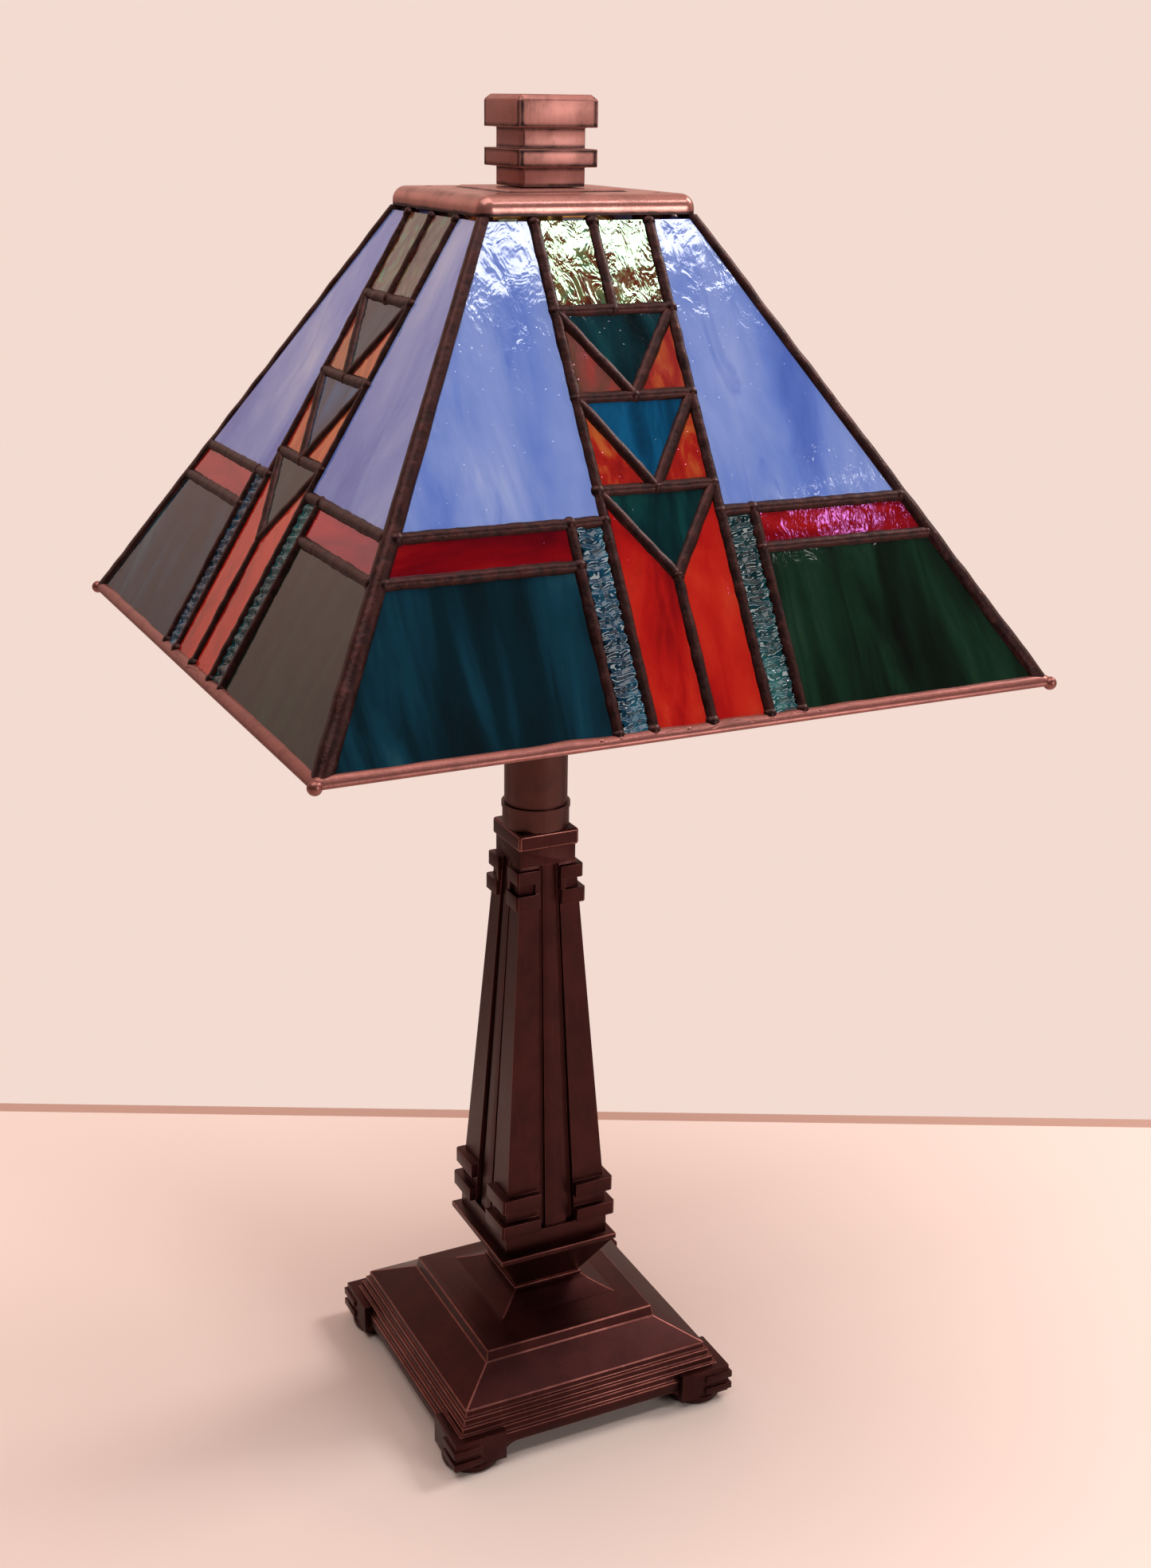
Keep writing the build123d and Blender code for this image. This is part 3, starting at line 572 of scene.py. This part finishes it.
class Builder:
    """Collects vertices and faces in the model's space, with drawing coordinates and tags."""

    def __init__(self):
        self.points, self.faces, self.flat, self.tags = [], [], [], []

    def add(self, matrix, points, faces, shift, tag):
        start = len(self.points)
        self.points += [matrix @ Vector(p) for p in points]
        self.flat += [(p[0] + shift, p[1]) for p in points]
        self.tags += [tag] * len(points)
        self.faces += [[start + n for n in face] for face in faces]

    def finish(self, name, material):
        mesh = bpy.data.meshes.new(name)
        mesh.from_pydata(self.points, [], self.faces)
        layer = mesh.uv_layers.new(name="pane")
        for loop in mesh.loops:
            layer.data[loop.index].uv = self.flat[loop.vertex_index]
        for n, label in enumerate(("turn", "tone")):
            values = mesh.attributes.new(label, "FLOAT", "POINT")
            values.data.foreach_set("value", [tag[n] for tag in self.tags])
        mesh.materials.append(material)
        made = bpy.data.objects.new(name, mesh)
        bpy.context.scene.collection.objects.link(made)
        return made


def slab(outline, tilt):
    """A pane with softened front corners, from its flat outline."""
    outline = counter_clockwise(outline)
    soft = counter_clockwise(shrink([tuple(p) for p in outline], softened))
    middle = sum(outline, Vector((0, 0))) / len(outline)
    count = len(outline)

    def leaned(p):
        return glass_front + (p.x - middle.x) * tilt[0] + (p.y - middle.y) * tilt[1]

    points = [(p.x, p.y, leaned(p)) for p in soft]
    points += [(p.x, p.y, leaned(p) - softened) for p in outline]
    points += [(p.x, p.y, glass_back) for p in outline]
    faces = [list(range(count)), list(range(3 * count - 1, 2 * count - 1, -1))]
    for ring in (0, count):
        for n in range(count):
            m = (n + 1) % count
            faces.append([ring + m, ring + n, ring + n + count, ring + m + count])
    return points, faces


dice = random.Random(11)
builders = {kind: Builder() for kind in glasses}
for turn in range(len(sides)):
    matrix = on_side(turn)
    for kind, hand, row, corners in cells:
        chance = dice.random()
        tone = tones.get((kind, hand, row), 0.5) + dice.uniform(-0.08, 0.08)
        tag = (chance, min(1.0, max(0.0, tone)))
        tilt = (dice.uniform(-0.006, 0.006), dice.uniform(-0.006, 0.006))
        if kind == "ripple":
            continue
        outline = shrink([(u, -s * slant) for u, s in corners], under_lead)
        points, faces = slab(outline, tilt)
        builders[kind].add(matrix, points, faces, 0.5 * turn, tag)
print("panes", {kind: len(b.points) for kind, b in builders.items()})


# %% [markdown]
# ## Heavy ripple glass
# The narrow strips are drapery glass, with ridges deep enough to catch the light one by
# one and an edge that waves in and out beside the lead. A bump would leave that edge
# straight, so the ridges are real: a fine grid, lifted by crossed waves and noise.

# %% Ripple strips
def ripple_strip(hand, seed):
    """A corrugated front, a flat back and the walls between them."""
    columns, rows = 22, 150
    low, high = -foot_share * slant + 1.0 * MM, -band_upper * slant - 1.0 * MM
    points, faces = [], []
    for layer in (0, 1):
        for row in range(rows + 1):
            y = low + (high - low) * row / rows
            wave = noise.noise(Vector((seed, y * 160, 0)))
            near = inner_line + 1.1 * MM
            far = outer_line - (1.5 + 0.9 * math.sin(y * 1500 + 3 * wave) + 0.5 * wave) * MM
            for column in range(columns + 1):
                share = column / columns
                x = near + (far - near) * share
                phase = y * 1750 - hand * share * 2.6 + 1.6 * noise.noise(Vector((x * 250, y * 250, seed)))
                ridge = math.sin(phase) * 0.42 + 0.35 * noise.noise(Vector((x * 520, y * 620, seed + 5)))
                lift = ridge * math.sin(math.pi * share) ** 0.5
                z = glass_front + (0.1 + lift) * MM if layer == 0 else glass_back
                points.append((hand * x, y, z))
    width = columns + 1
    total = width * (rows + 1)
    for row in range(rows):
        for column in range(columns):
            a = row * width + column
            quad = [a, a + 1, a + 1 + width, a + width]
            faces.append(quad if hand > 0 else quad[::-1])
            under = [n + total for n in quad]
            faces.append(under[::-1] if hand > 0 else under)
    border = list(range(columns)) + [row * width + columns for row in range(rows)]
    border += [rows * width + columns - n for n in range(columns)]
    border += [(rows - n) * width for n in range(rows)]
    for a, b in zip(border, border[1:] + border[:1]):
        wall = [b, a, a + total, b + total]
        faces.append(wall if hand > 0 else wall[::-1])
    return points, faces


for turn in range(len(sides)):
    for hand in (-1, 1):
        points, faces = ripple_strip(hand, turn * 3.1 + hand)
        tag = (dice.random(), tones[("ripple", hand, 0)])
        builders["ripple"].add(on_side(turn), points, faces, 0.5 * turn, tag)

for kind, builder in builders.items():
    piece = builder.finish(f"panes_{kind}", glasses[kind])
    if kind == "ripple":
        piece.data.shade_smooth()
        piece.data.set_sharp_from_angle(angle=math.radians(60))
    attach(piece, "shade")
    per_side = kind in ("blue", "red", "dark")
    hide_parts(*([f"{kind}_glass_{side}" for side in sides] if per_side else [f"{kind}_glass"]))
print("ripple points", len(builders["ripple"].points))


# %% [markdown]
# ## Solder beads
# Molten solder flows along every seam and stands up as a rounded bead, thicker and
# thinner by turns, with a blob where seams meet. The seams are a network of straight
# edges, so Geometry Nodes can do the soldering: they turn edges to curves, shake them
# slightly, sweep a bead of changing thickness along them and drop a blob on each point.

# %% The soldering tree
def solder_tree():
    tree = bpy.data.node_groups.new("solder_beads", "GeometryNodeTree")
    inputs = (
        ("Seams", "NodeSocketGeometry", None), ("Bead radius", "NodeSocketFloat", 2.0 * MM),
        ("Flatness", "NodeSocketFloat", 1.0), ("Wobble", "NodeSocketFloat", 0.3 * MM),
        ("Unevenness", "NodeSocketFloat", 0.4), ("Blob size", "NodeSocketFloat", 1.15),
        ("Seed", "NodeSocketInt", 4), ("Metal", "NodeSocketMaterial", None))
    for name, kind, value in inputs:
        made = tree.interface.new_socket(name, in_out="INPUT", socket_type=kind)
        if value is not None:
            made.default_value = value
    tree.interface.new_socket("Beads", in_out="OUTPUT", socket_type="NodeSocketGeometry")
    given = tree.nodes.new("NodeGroupInput").outputs

    def add(kind, links=(), **settings):
        made = tree.nodes.new(kind)
        for key, value in settings.items():
            setattr(made, key, value)
        for key, value in dict(links).items():
            if isinstance(value, bpy.types.NodeSocket):
                tree.links.new(value, made.inputs[key])
            else:
                made.inputs[key].default_value = value
        return made

    def out(kind, links=(), which=0, **settings):
        return add(kind, links, **settings).outputs[which]

    curve = out("GeometryNodeMeshToCurve", {0: given["Seams"]})
    curve = out("GeometryNodeResampleCurve", {"Curve": curve, "Length": 1.6 * MM}, mode="LENGTH")
    shake = out("ShaderNodeTexNoise", {"Scale": 160.0, "Detail": 2.0}, 1)
    shake = out("ShaderNodeVectorMath", {0: shake, 1: (0.5, 0.5, 0.5)}, operation="SUBTRACT")
    shake = out("ShaderNodeVectorMath", {0: shake, "Scale": given["Wobble"]}, operation="SCALE")
    curve = out("GeometryNodeSetPosition", {"Geometry": curve, "Offset": shake})
    swell = out("ShaderNodeTexNoise", {"Scale": 210.0, "Detail": 3.0})
    swell = out("ShaderNodeMath", {0: swell, 1: 0.5}, operation="SUBTRACT")
    swell = out("ShaderNodeMath", {0: swell, 1: given["Unevenness"], 2: 1.0}, operation="MULTIPLY_ADD")
    curve = out("GeometryNodeSetCurveRadius", {"Curve": curve, "Radius": swell})
    profile = out("GeometryNodeCurvePrimitiveCircle", {"Resolution": 12, "Radius": given["Bead radius"]})
    swept = add("GeometryNodeCurveToMesh", {"Curve": curve, "Profile Curve": profile, "Fill Caps": True})
    tree.links.new(out("GeometryNodeInputRadius"), swept.inputs["Scale"])
    blob = out("GeometryNodeMeshIcoSphere", {"Radius": given["Bead radius"], "Subdivisions": 3})
    size = add("FunctionNodeRandomValue", {"Seed": given["Seed"]}, data_type="FLOAT")
    size.inputs[2].default_value, size.inputs[3].default_value = 0.94, 1.12
    size = out("ShaderNodeMath", {0: size.outputs[1], 1: given["Blob size"]}, operation="MULTIPLY")
    blobs = out("GeometryNodeInstanceOnPoints", {"Points": given["Seams"], "Instance": blob, "Scale": size})
    joined = add("GeometryNodeJoinGeometry")
    for part in (swept.outputs[0], blobs):
        tree.links.new(part, joined.inputs[0])
    real = out("GeometryNodeRealizeInstances", {"Geometry": joined.outputs[0]})
    squash = out("ShaderNodeCombineXYZ", {0: 1.0, 1: 1.0, 2: given["Flatness"]})
    real = out("GeometryNodeTransform", {"Geometry": real, "Scale": squash})
    real = out("GeometryNodeSetShadeSmooth", {"Geometry": real})
    real = out("GeometryNodeSetMaterial", {"Geometry": real, "Material": given["Metal"]})
    end = tree.nodes.new("NodeGroupOutput")
    tree.links.new(real, end.inputs[0])
    return tree


beads_tree = solder_tree()


def run_tree(name, tree, mesh, values, matrix):
    """Runs a tree on a mesh and gives the result as a plain mesh, laid in its place."""
    carrier = bpy.data.objects.new(name + "_seams", mesh)
    bpy.context.scene.collection.objects.link(carrier)
    modifier = carrier.modifiers.new("beads", "NODES")
    modifier.node_group = tree
    sockets = {s.name: s.identifier for s in tree.interface.items_tree if s.item_type == "SOCKET"}
    for key, value in values.items():
        modifier[sockets[key]] = value
    graph = bpy.context.evaluated_depsgraph_get()
    made = bpy.data.meshes.new_from_object(carrier.evaluated_get(graph))
    made.name = name
    made.transform(matrix)
    bpy.data.objects.remove(carrier)
    piece = bpy.data.objects.new(name, made)
    bpy.context.scene.collection.objects.link(piece)
    return piece


print("tree", beads_tree.name, len(beads_tree.nodes), "nodes")


# %% Seams of one side, soldered four times
def seam_mesh(name, lines):
    """Straight seams as edges; ends that fall together share one point."""
    points, edges = [], []
    index = {}
    for line in lines:
        ends = []
        for u, share in line:
            key = (round(u, 6), round(share, 5))
            if key not in index:
                index[key] = len(points)
                points.append((u, -share * slant, 0))
            ends.append(index[key])
        edges += list(zip(ends, ends[1:]))
    mesh = bpy.data.meshes.new(name)
    mesh.from_pydata(points, sorted(set(edges)), [])
    return mesh


def side_lines():
    """The seams of one side, each as a row of (across, share of the slant)."""
    c1, c2, c3, tip = cross_lines
    start = 0.012
    end = foot_share - start
    lines = [[(0, start), (0, c1)], [(0, tip), (0, end)]]
    for share in (c1, c2, c3):
        lines.append([(-inner_line, share), (0, share), (inner_line, share)])
    for share, point in ((c1, c2), (c2, c3), (c3, tip)):
        lines.append([(-inner_line, share), (0, point), (inner_line, share)])
    for hand in (-1, 1):
        inner, outer = hand * inner_line, hand * outer_line
        hip_upper, hip_lower = [hand * (edge_of(s) + 1 * MM) for s in (band_upper, band_lower)]
        lines.append([(inner, s) for s in (start, c1, c2, c3, band_upper, end)])
        lines.append([(outer, s) for s in (band_upper, band_lower, end)])
        lines.append([(inner, band_upper), (outer, band_upper), (hip_upper, band_upper)])
        lines.append([(outer, band_lower), (hip_lower, band_lower)])
    return lines


mid_plane = (glass_front + glass_back) / 2
for turn, side in enumerate(sides):
    lay = on_side(turn) @ Matrix.Translation((0, 0, mid_plane))
    values = {
        "Bead radius": 2.3 * MM, "Flatness": 1.08, "Wobble": 0.6 * MM, "Unevenness": 0.28,
        "Blob size": 1.1, "Seed": 20 + turn, "Metal": solder}
    piece = run_tree(f"solder_{side}", beads_tree, seam_mesh(f"seams_{side}", side_lines()), values, lay)
    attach(piece, "shade")
    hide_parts(f"solder_lattice_{side}")
    print(piece.name, len(piece.data.polygons), "faces")


# %% [markdown]
# ## Hip seams
# Where two sides meet, the solder is built up into a broad rounded ridge that grows
# towards the bottom corner. Its section is a bent strip that feathers out on both faces,
# so it is lofted as a ring of points from the cap down to the rim.

# %% Loft the four hips
def loft(rings, closed=False):
    """Quads between rings of equal length, with end caps unless the rings close."""
    count = len(rings[0])
    points = [p for ring in rings for p in ring]
    faces = []
    spans = len(rings) if closed else len(rings) - 1
    for n in range(spans):
        a, b = n * count, ((n + 1) % len(rings)) * count
        for i in range(count):
            j = (i + 1) % count
            faces.append([a + i, a + j, b + j, b + i])
    if not closed:
        last = (len(rings) - 1) * count
        faces += [list(range(count))[::-1], [last + i for i in range(count)]]
    return points, faces


def piece_from(name, points, faces, materials, smooth_angle=50):
    mesh = bpy.data.meshes.new(name)
    mesh.from_pydata([tuple(p) for p in points], [], faces)
    shell = bmesh.new()
    shell.from_mesh(mesh)
    bmesh.ops.recalc_face_normals(shell, faces=shell.faces)
    shell.to_mesh(mesh)
    shell.free()
    mesh.shade_smooth()
    mesh.set_sharp_from_angle(angle=math.radians(smooth_angle))
    for material in materials:
        mesh.materials.append(material)
    made = bpy.data.objects.new(name, mesh)
    bpy.context.scene.collection.objects.link(made)
    return made


def hip_ring(share, seed):
    """The section of a hip at a share of the slant: outer strip, then the inner fillet."""
    half = half_top + run * share
    corner = Vector((-half, -half, top_level - rise * share))
    wobble = noise.noise(Vector((seed, share * 13, 0)))
    lump = noise.noise(Vector((seed + 9, share * 24, 0)))
    wide = (3.0 + 2.1 * share + 0.35 * wobble) * MM
    crown = (0.55 + 0.5 * share + 0.35 * lump) * MM
    thick = (glass_front - glass_back) * slant / rise + 0.3 * MM
    out_a = Vector((0, -rise / slant, run / slant))
    out_b = Vector((-rise / slant, 0, run / slant))
    strip = [(1.0, -0.7 * MM), (0.96, 0.15 * MM), (0.72, crown * 0.8), (0.4, crown * 1.05)]
    strip.append((0.14, crown * 0.95))
    ring = [corner + Vector((wide * a, 0, 0)) + out_a * h for a, h in strip]
    ring += [corner + Vector((0, wide * a, 0)) + out_b * h for a, h in strip[::-1]]
    inner = thick + wide - 1.0 * MM
    fillet = [(thick * 0.75, inner), (thick + 0.9 * MM, inner - 1.2 * MM)]
    middle = [(thick + 1.5 * MM, thick + 1.5 * MM)]
    fillet += middle + [(y, x) for x, y in fillet[::-1]]
    ring += [corner + Vector((x, y, 0)) for x, y in fillet]
    return ring


hip_stations = 90
hip_points, hip_faces = [], []
for turn in range(len(sides)):
    quarter = Matrix.Rotation(math.radians(90 * turn), 4, "Z")
    rings = []
    for n in range(hip_stations + 1):
        ring = hip_ring(0.002 + 0.992 * n / hip_stations, 3.3 * turn)
        rings.append([quarter @ p for p in ring])
    points, faces = loft(rings)
    hip_faces += [[i + len(hip_points) for i in face] for face in faces]
    hip_points += points
hips = piece_from("hip_solder", hip_points, hip_faces, [solder])
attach(hips, "shade")
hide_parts("hip_seams")
print("hips", len(hip_faces), "faces")


# %% [markdown]
# ## The rim
# A copper channel is folded round the foot of the glass and tinned. It shows as a narrow
# bright strip with a soft outer edge, bowed a little by hand. Its section runs once round
# the square, mitred at the corners, and each corner carries a solder ball.

# %% Rim channel
rim_out = rim_high.x
rim_foot = rim_low.z
glass_depth = 3.0 * MM * slant / rise


def rim_ring(direction_x, direction_y, seed):
    """The channel's section at one place; the directions scale its half width."""
    soft = noise.noise(Vector((direction_x * 9, direction_y * 9, seed)))
    lip = (3.3 + 0.45 * soft) * MM
    back = rim_out - 0.7 * MM - glass_depth

    def face(height):
        return rim_out - 0.75 * MM - (height - 0.6 * MM) * lean

    section = [
        (rim_out - 0.55 * MM, 0.0), (rim_out - 0.12 * MM, 0.25 * MM), (rim_out, 0.8 * MM),
        (face(1.6 * MM) + 0.95 * MM, 1.6 * MM), (face(lip - 0.7 * MM) + 0.8 * MM, lip - 0.7 * MM),
        (face(lip) + 0.45 * MM, lip - 0.1 * MM), (face(lip) - 0.6 * MM, lip),
        (back - lip * lean + 0.8 * MM, lip - 0.1 * MM), (back - lip * lean - 0.3 * MM, lip - 0.5 * MM),
        (back - 1.2 * MM, 1.2 * MM), (back - 0.2 * MM, 0.2 * MM), (back + 0.5 * MM, 0.0)]
    return [Vector((direction_x * r, direction_y * r, rim_foot + h)) for r, h in section]


rim_stations = 100
rings = []
for turn in range(len(sides)):
    quarter = Matrix.Rotation(math.radians(90 * turn), 3, "Z")
    for n in range(rim_stations):
        heading = quarter @ Vector((-1 + 2 * n / rim_stations, -1, 0))
        rings.append(rim_ring(heading.x, heading.y, 2.0))
rim_points, rim_faces = loft(rings, closed=True)
rim = piece_from("rim_channel", rim_points, rim_faces, [rim_copper])
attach(rim, "shade")
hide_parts("rim_channels")
print("rim", len(rim_faces), "faces")

# %% Uneven solder along the middle of each rim
rim_share = 1.0 - 2.2 * MM / slant
blob_places = (-38, -31.6, -20, -9, 0, 11, 20, 31.6, 37)
for turn, side in enumerate(sides):
    line = [(u * MM, rim_share) for u in blob_places]
    lay = on_side(turn) @ Matrix.Translation((0, 0, 0.2 * MM))
    values = {
        "Bead radius": 0.95 * MM, "Flatness": 0.7, "Wobble": 3.2 * MM, "Unevenness": 1.3,
        "Blob size": 1.25, "Seed": 40 + turn, "Metal": rim_copper}
    piece = run_tree(f"rim_solder_{side}", beads_tree, seam_mesh(f"rim_seam_{side}", [line]), values, lay)
    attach(piece, "shade")
print("rim solder on", sides)


# %% [markdown]
# ## Castings with crests of their own finish
# A casting never has a knife edge. Each one is a copy of its CAD part, welded, with the
# small triangles of its flats dissolved, and then bevelled by a modifier that can put
# the new crest faces in a second material slot. That slot gets the crest finish: on the
# bronze a lighter one, partly wear and partly a painted highlight, and on the finial a
# darker one, painted shade along its edges.

# %% Bevelled copies
def casting(node, name, body, width, materials, segments=2):
    """A copy of a CAD part with bevelled crests, which get the last of the materials."""
    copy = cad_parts[node].data.copy()
    copy.name = name
    copy.materials.clear()
    for material in materials:
        copy.materials.append(material)
    for polygon in copy.polygons:
        polygon.material_index = 0
    holder = bpy.data.objects.new(name + "_raw", copy)
    bpy.context.scene.collection.objects.link(holder)
    weld = holder.modifiers.new("weld", "WELD")
    weld.merge_threshold = 0.01 * MM
    flat = holder.modifiers.new("flat", "DECIMATE")
    flat.decimate_type = "DISSOLVE"
    flat.angle_limit = math.radians(1.0)
    crest = holder.modifiers.new("crest", "BEVEL")
    crest.width = width
    crest.segments = segments
    crest.limit_method = "ANGLE"
    crest.angle_limit = math.radians(32)
    crest.material = len(materials) - 1
    crest.use_clamp_overlap = True
    graph = bpy.context.evaluated_depsgraph_get()
    made = bpy.data.meshes.new_from_object(holder.evaluated_get(graph))
    made.name = name
    bpy.data.objects.remove(holder)
    made.shade_smooth()
    made.set_sharp_from_angle(angle=math.radians(28))
    piece = bpy.data.objects.new(name, made)
    bpy.context.scene.collection.objects.link(piece)
    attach(piece, body)
    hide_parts(node)
    print(name, len(made.polygons), "faces")
    return piece


crest_widths = {
    "base_casting": 0.4, "corner_feet": 0.45, "column_pedestal": 0.4, "column_shaft": 0.35, "column_cap": 0.3}
# The bronze crests get the lighter finish, partly rubbed wear and partly a painted highlight.
for node, width in crest_widths.items():
    casting(node, node.replace("_", "-") + "-worn", "stand", width * MM, [dark_bronze, worn_and_highlight_bronze])
# The finial's crests get the darker copper, painted shade along its edges.
casting("finial_block", "finial-worn", "finial", 1.2 * MM, [finial_copper, finial_shaded_crest], 3)


# %% [markdown]
# ## Finishes of the parts that stay as packed
# The remaining parts are shown as they are in the CAD model. They only need their finish.

# %% Hand out the finishes
finishes = {
    cap_copper: ("shade_cap",),
    rim_copper: ("corner_balls",),
    tube_copper: ("riser_sleeve", "seating_cup"),
    brass: (
        "harp_saddle", "harp_wire", "harp_seat", "harp_ferrule_left", "harp_ferrule_right", "socket_cap",
        "socket_shell", "screw_shell", "contact_tab", "switch_stem", "cap_washer", "finial_insert"),
    zinc: ("lamp_pipe", "base_washer", "base_nut"),
    iron: ("ballast_plate",),
    felt: ("foot_pads", "finial_felt"),
    plastic: ("pipe_bushing", "switch_knob"),
    phenolic: ("socket_block",),
    fibre: ("socket_liner",),
    frosted_bulb: ("bulb_globe",),
    bulb_metal: ("bulb_screw_base", "bulb_contact"),
}
kept = {node: material for material, nodes in finishes.items() for node in nodes}
for node, material in kept.items():
    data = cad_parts[node].data
    data.materials.clear()
    data.materials.append(material)
missed = [n for n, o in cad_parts.items() if n not in kept and not o.hide_render]
print("kept", len(kept), "without a finish", missed)


# %% [markdown]
# ## Table, air and light
# The lamp stands on a pale table whose far edge shows just behind it, against a pale wall.
# A darker strip along that edge is the painted shadow of the gap between table and wall.
# A wall close by would hide the lamp from behind, so the air itself has the wall's colour.
# Reflections see the air as a room instead: a warm glow ahead and above, dark elsewhere.
# Of the five soft panels, a narrow box and a small lamp high on the right make the broken
# reflections at the top of the glass. A window, a key and an overhead panel do the rest.

# %% Table top
half_wide = 3.0
look = math.radians(26.478)
ahead = Vector((math.sin(look), math.cos(look), 0))
aside = Vector((math.cos(look), -math.sin(look), 0))


def table_piece(name, near, far, low, high, material):
    corners = []
    for z in (low, high):
        for forward, sideways in ((near, -half_wide), (near, half_wide), (far, half_wide), (far, -half_wide)):
            corners.append(ahead * forward + aside * sideways + Vector((0, 0, z)))
    faces = [[0, 3, 2, 1], [4, 5, 6, 7], [0, 1, 5, 4], [1, 2, 6, 5], [2, 3, 7, 6], [3, 0, 4, 7]]
    piece = piece_from(name, corners, faces, [material], 20)
    return piece


table_paint = Finish("table_paint")
cloud = table_paint.noise(table_paint.place(), 6.0, 3.0)
table_paint.set(
    Base_Color=table_paint.mix(cloud, screen(231, 216, 208), screen(237, 222, 213)), Roughness=0.45,
    Specular_IOR_Level=0.3)
# A darker strip along the table's far edge: the painted shadow of the gap between table and wall.
gap_shadow_paint = Finish("table_gap_shadow")
gap_shadow_paint.set(Base_Color=screen(186, 150, 136), Roughness=0.7)

table_near, table_far, gap_shadow_depth, table_foot = -2.5, 0.191, 0.01, -0.03
table_piece("table_top", table_near, table_far, table_foot, 0.0, table_paint.material)
table_piece("table_gap_shadow", table_far, table_far + gap_shadow_depth, table_foot, -0.001, gap_shadow_paint.material)
print("table ends", table_far, "m behind the lamp's axis")

# %% Air and lights
scene = bpy.context.scene
scene.view_settings.view_transform = "Standard"
world = bpy.data.worlds.new("air")
world.use_nodes = True
air = Recipe(world.node_tree)
heading = air.node("ShaderNodeTexCoord")[0]
onward = air.node("ShaderNodeVectorMath", {"operation": "DOT_PRODUCT"}, {0: heading, 1: ahead})[1]
upwards = air.split(heading)[2]
glow = onward.above(-0.25, 0.35) * (upwards.above(-0.02, 0.3) * 0.65 + 0.35)
room = air.mix(glow, screen(56, 44, 42), screen(246, 200, 186))
seen_directly = air.node("ShaderNodeLightPath")[0]
wall = air.mix(seen_directly, room, screen(243, 219, 209))
air.feed(world.node_tree.nodes["Background"], {0: wall})
scene.world = world


def panel_light(name, place, target, along, size, power, color):
    """A flat light aimed at a point, with its width lying along a chosen direction."""
    lamp = bpy.data.lights.new(name, "AREA")
    lamp.shape = "RECTANGLE"
    lamp.size, lamp.size_y = size
    lamp.energy = power
    lamp.color = color
    made = bpy.data.objects.new(name, lamp)
    behind = (Vector(place) - Vector(target)).normalized()
    upward = behind.cross(Vector(along)).normalized()
    turned = Matrix((upward.cross(behind), upward, behind)).transposed().to_4x4()
    turned.translation = Vector(place)
    made.matrix_world = turned
    scene.collection.objects.link(made)


slanting = (0.24, 0.05, -0.07)
panel_light(
    "soft_box", place=(0.62, -0.605, 1.46), target=(0, -0.06, 0.38), along=slanting,
    size=(0.46, 0.105), power=2.2, color=(0.97, 0.98, 1.0))
panel_light(
    "small_lamp", place=(0.785, -0.80, 1.195), target=(0.08, -0.1, 0.28), along=slanting,
    size=(0.04, 0.012), power=0.022, color=(1, 0.98, 0.98))
panel_light(
    "window", place=(0.75, -1.45, 0.62), target=(0, 0, 0.45), along=(1, 0, 0),
    size=(0.6, 0.5), power=9.0, color=(1.0, 0.95, 0.92))
panel_light(
    "key", place=(1.3, 0.05, 1.35), target=(0, 0, 0.2), along=(0, 1, 0),
    size=(0.45, 0.45), power=11.0, color=(1.0, 0.94, 0.9))
panel_light(
    "overhead", place=(-0.3, -0.2, 2.1), target=(0, 0, 0.2), along=(1, 0, 0),
    size=(2.0, 1.3), power=30.0, color=(1.0, 0.94, 0.91))


# %% [markdown]
# ## Camera
# The eye is a little above the shade and to the left of the face with the open
# reflections. Its turn, tilt and slight roll are turned into the camera's own axes.

# %% Place the camera
eye = Vector((-0.28301, -0.60034, 0.47742))
tilt, roll = math.radians(19.394), math.radians(0.81)
forward = ahead * math.cos(tilt) - Vector((0, 0, math.sin(tilt)))
above = aside.cross(forward)
right = aside * math.cos(roll) + above * math.sin(roll)
upward = above * math.cos(roll) - aside * math.sin(roll)
lens = bpy.data.cameras.new("camera")
lens.sensor_width = 36
lens.lens = 44.595
lens.clip_start = 0.01
camera = bpy.data.objects.new("camera", lens)
axes = Matrix((right, upward, -forward)).transposed().to_4x4()
axes.translation = eye
camera.matrix_world = axes
scene.collection.objects.link(camera)
scene.camera = camera
print("camera at", [round(v, 3) for v in camera.location])
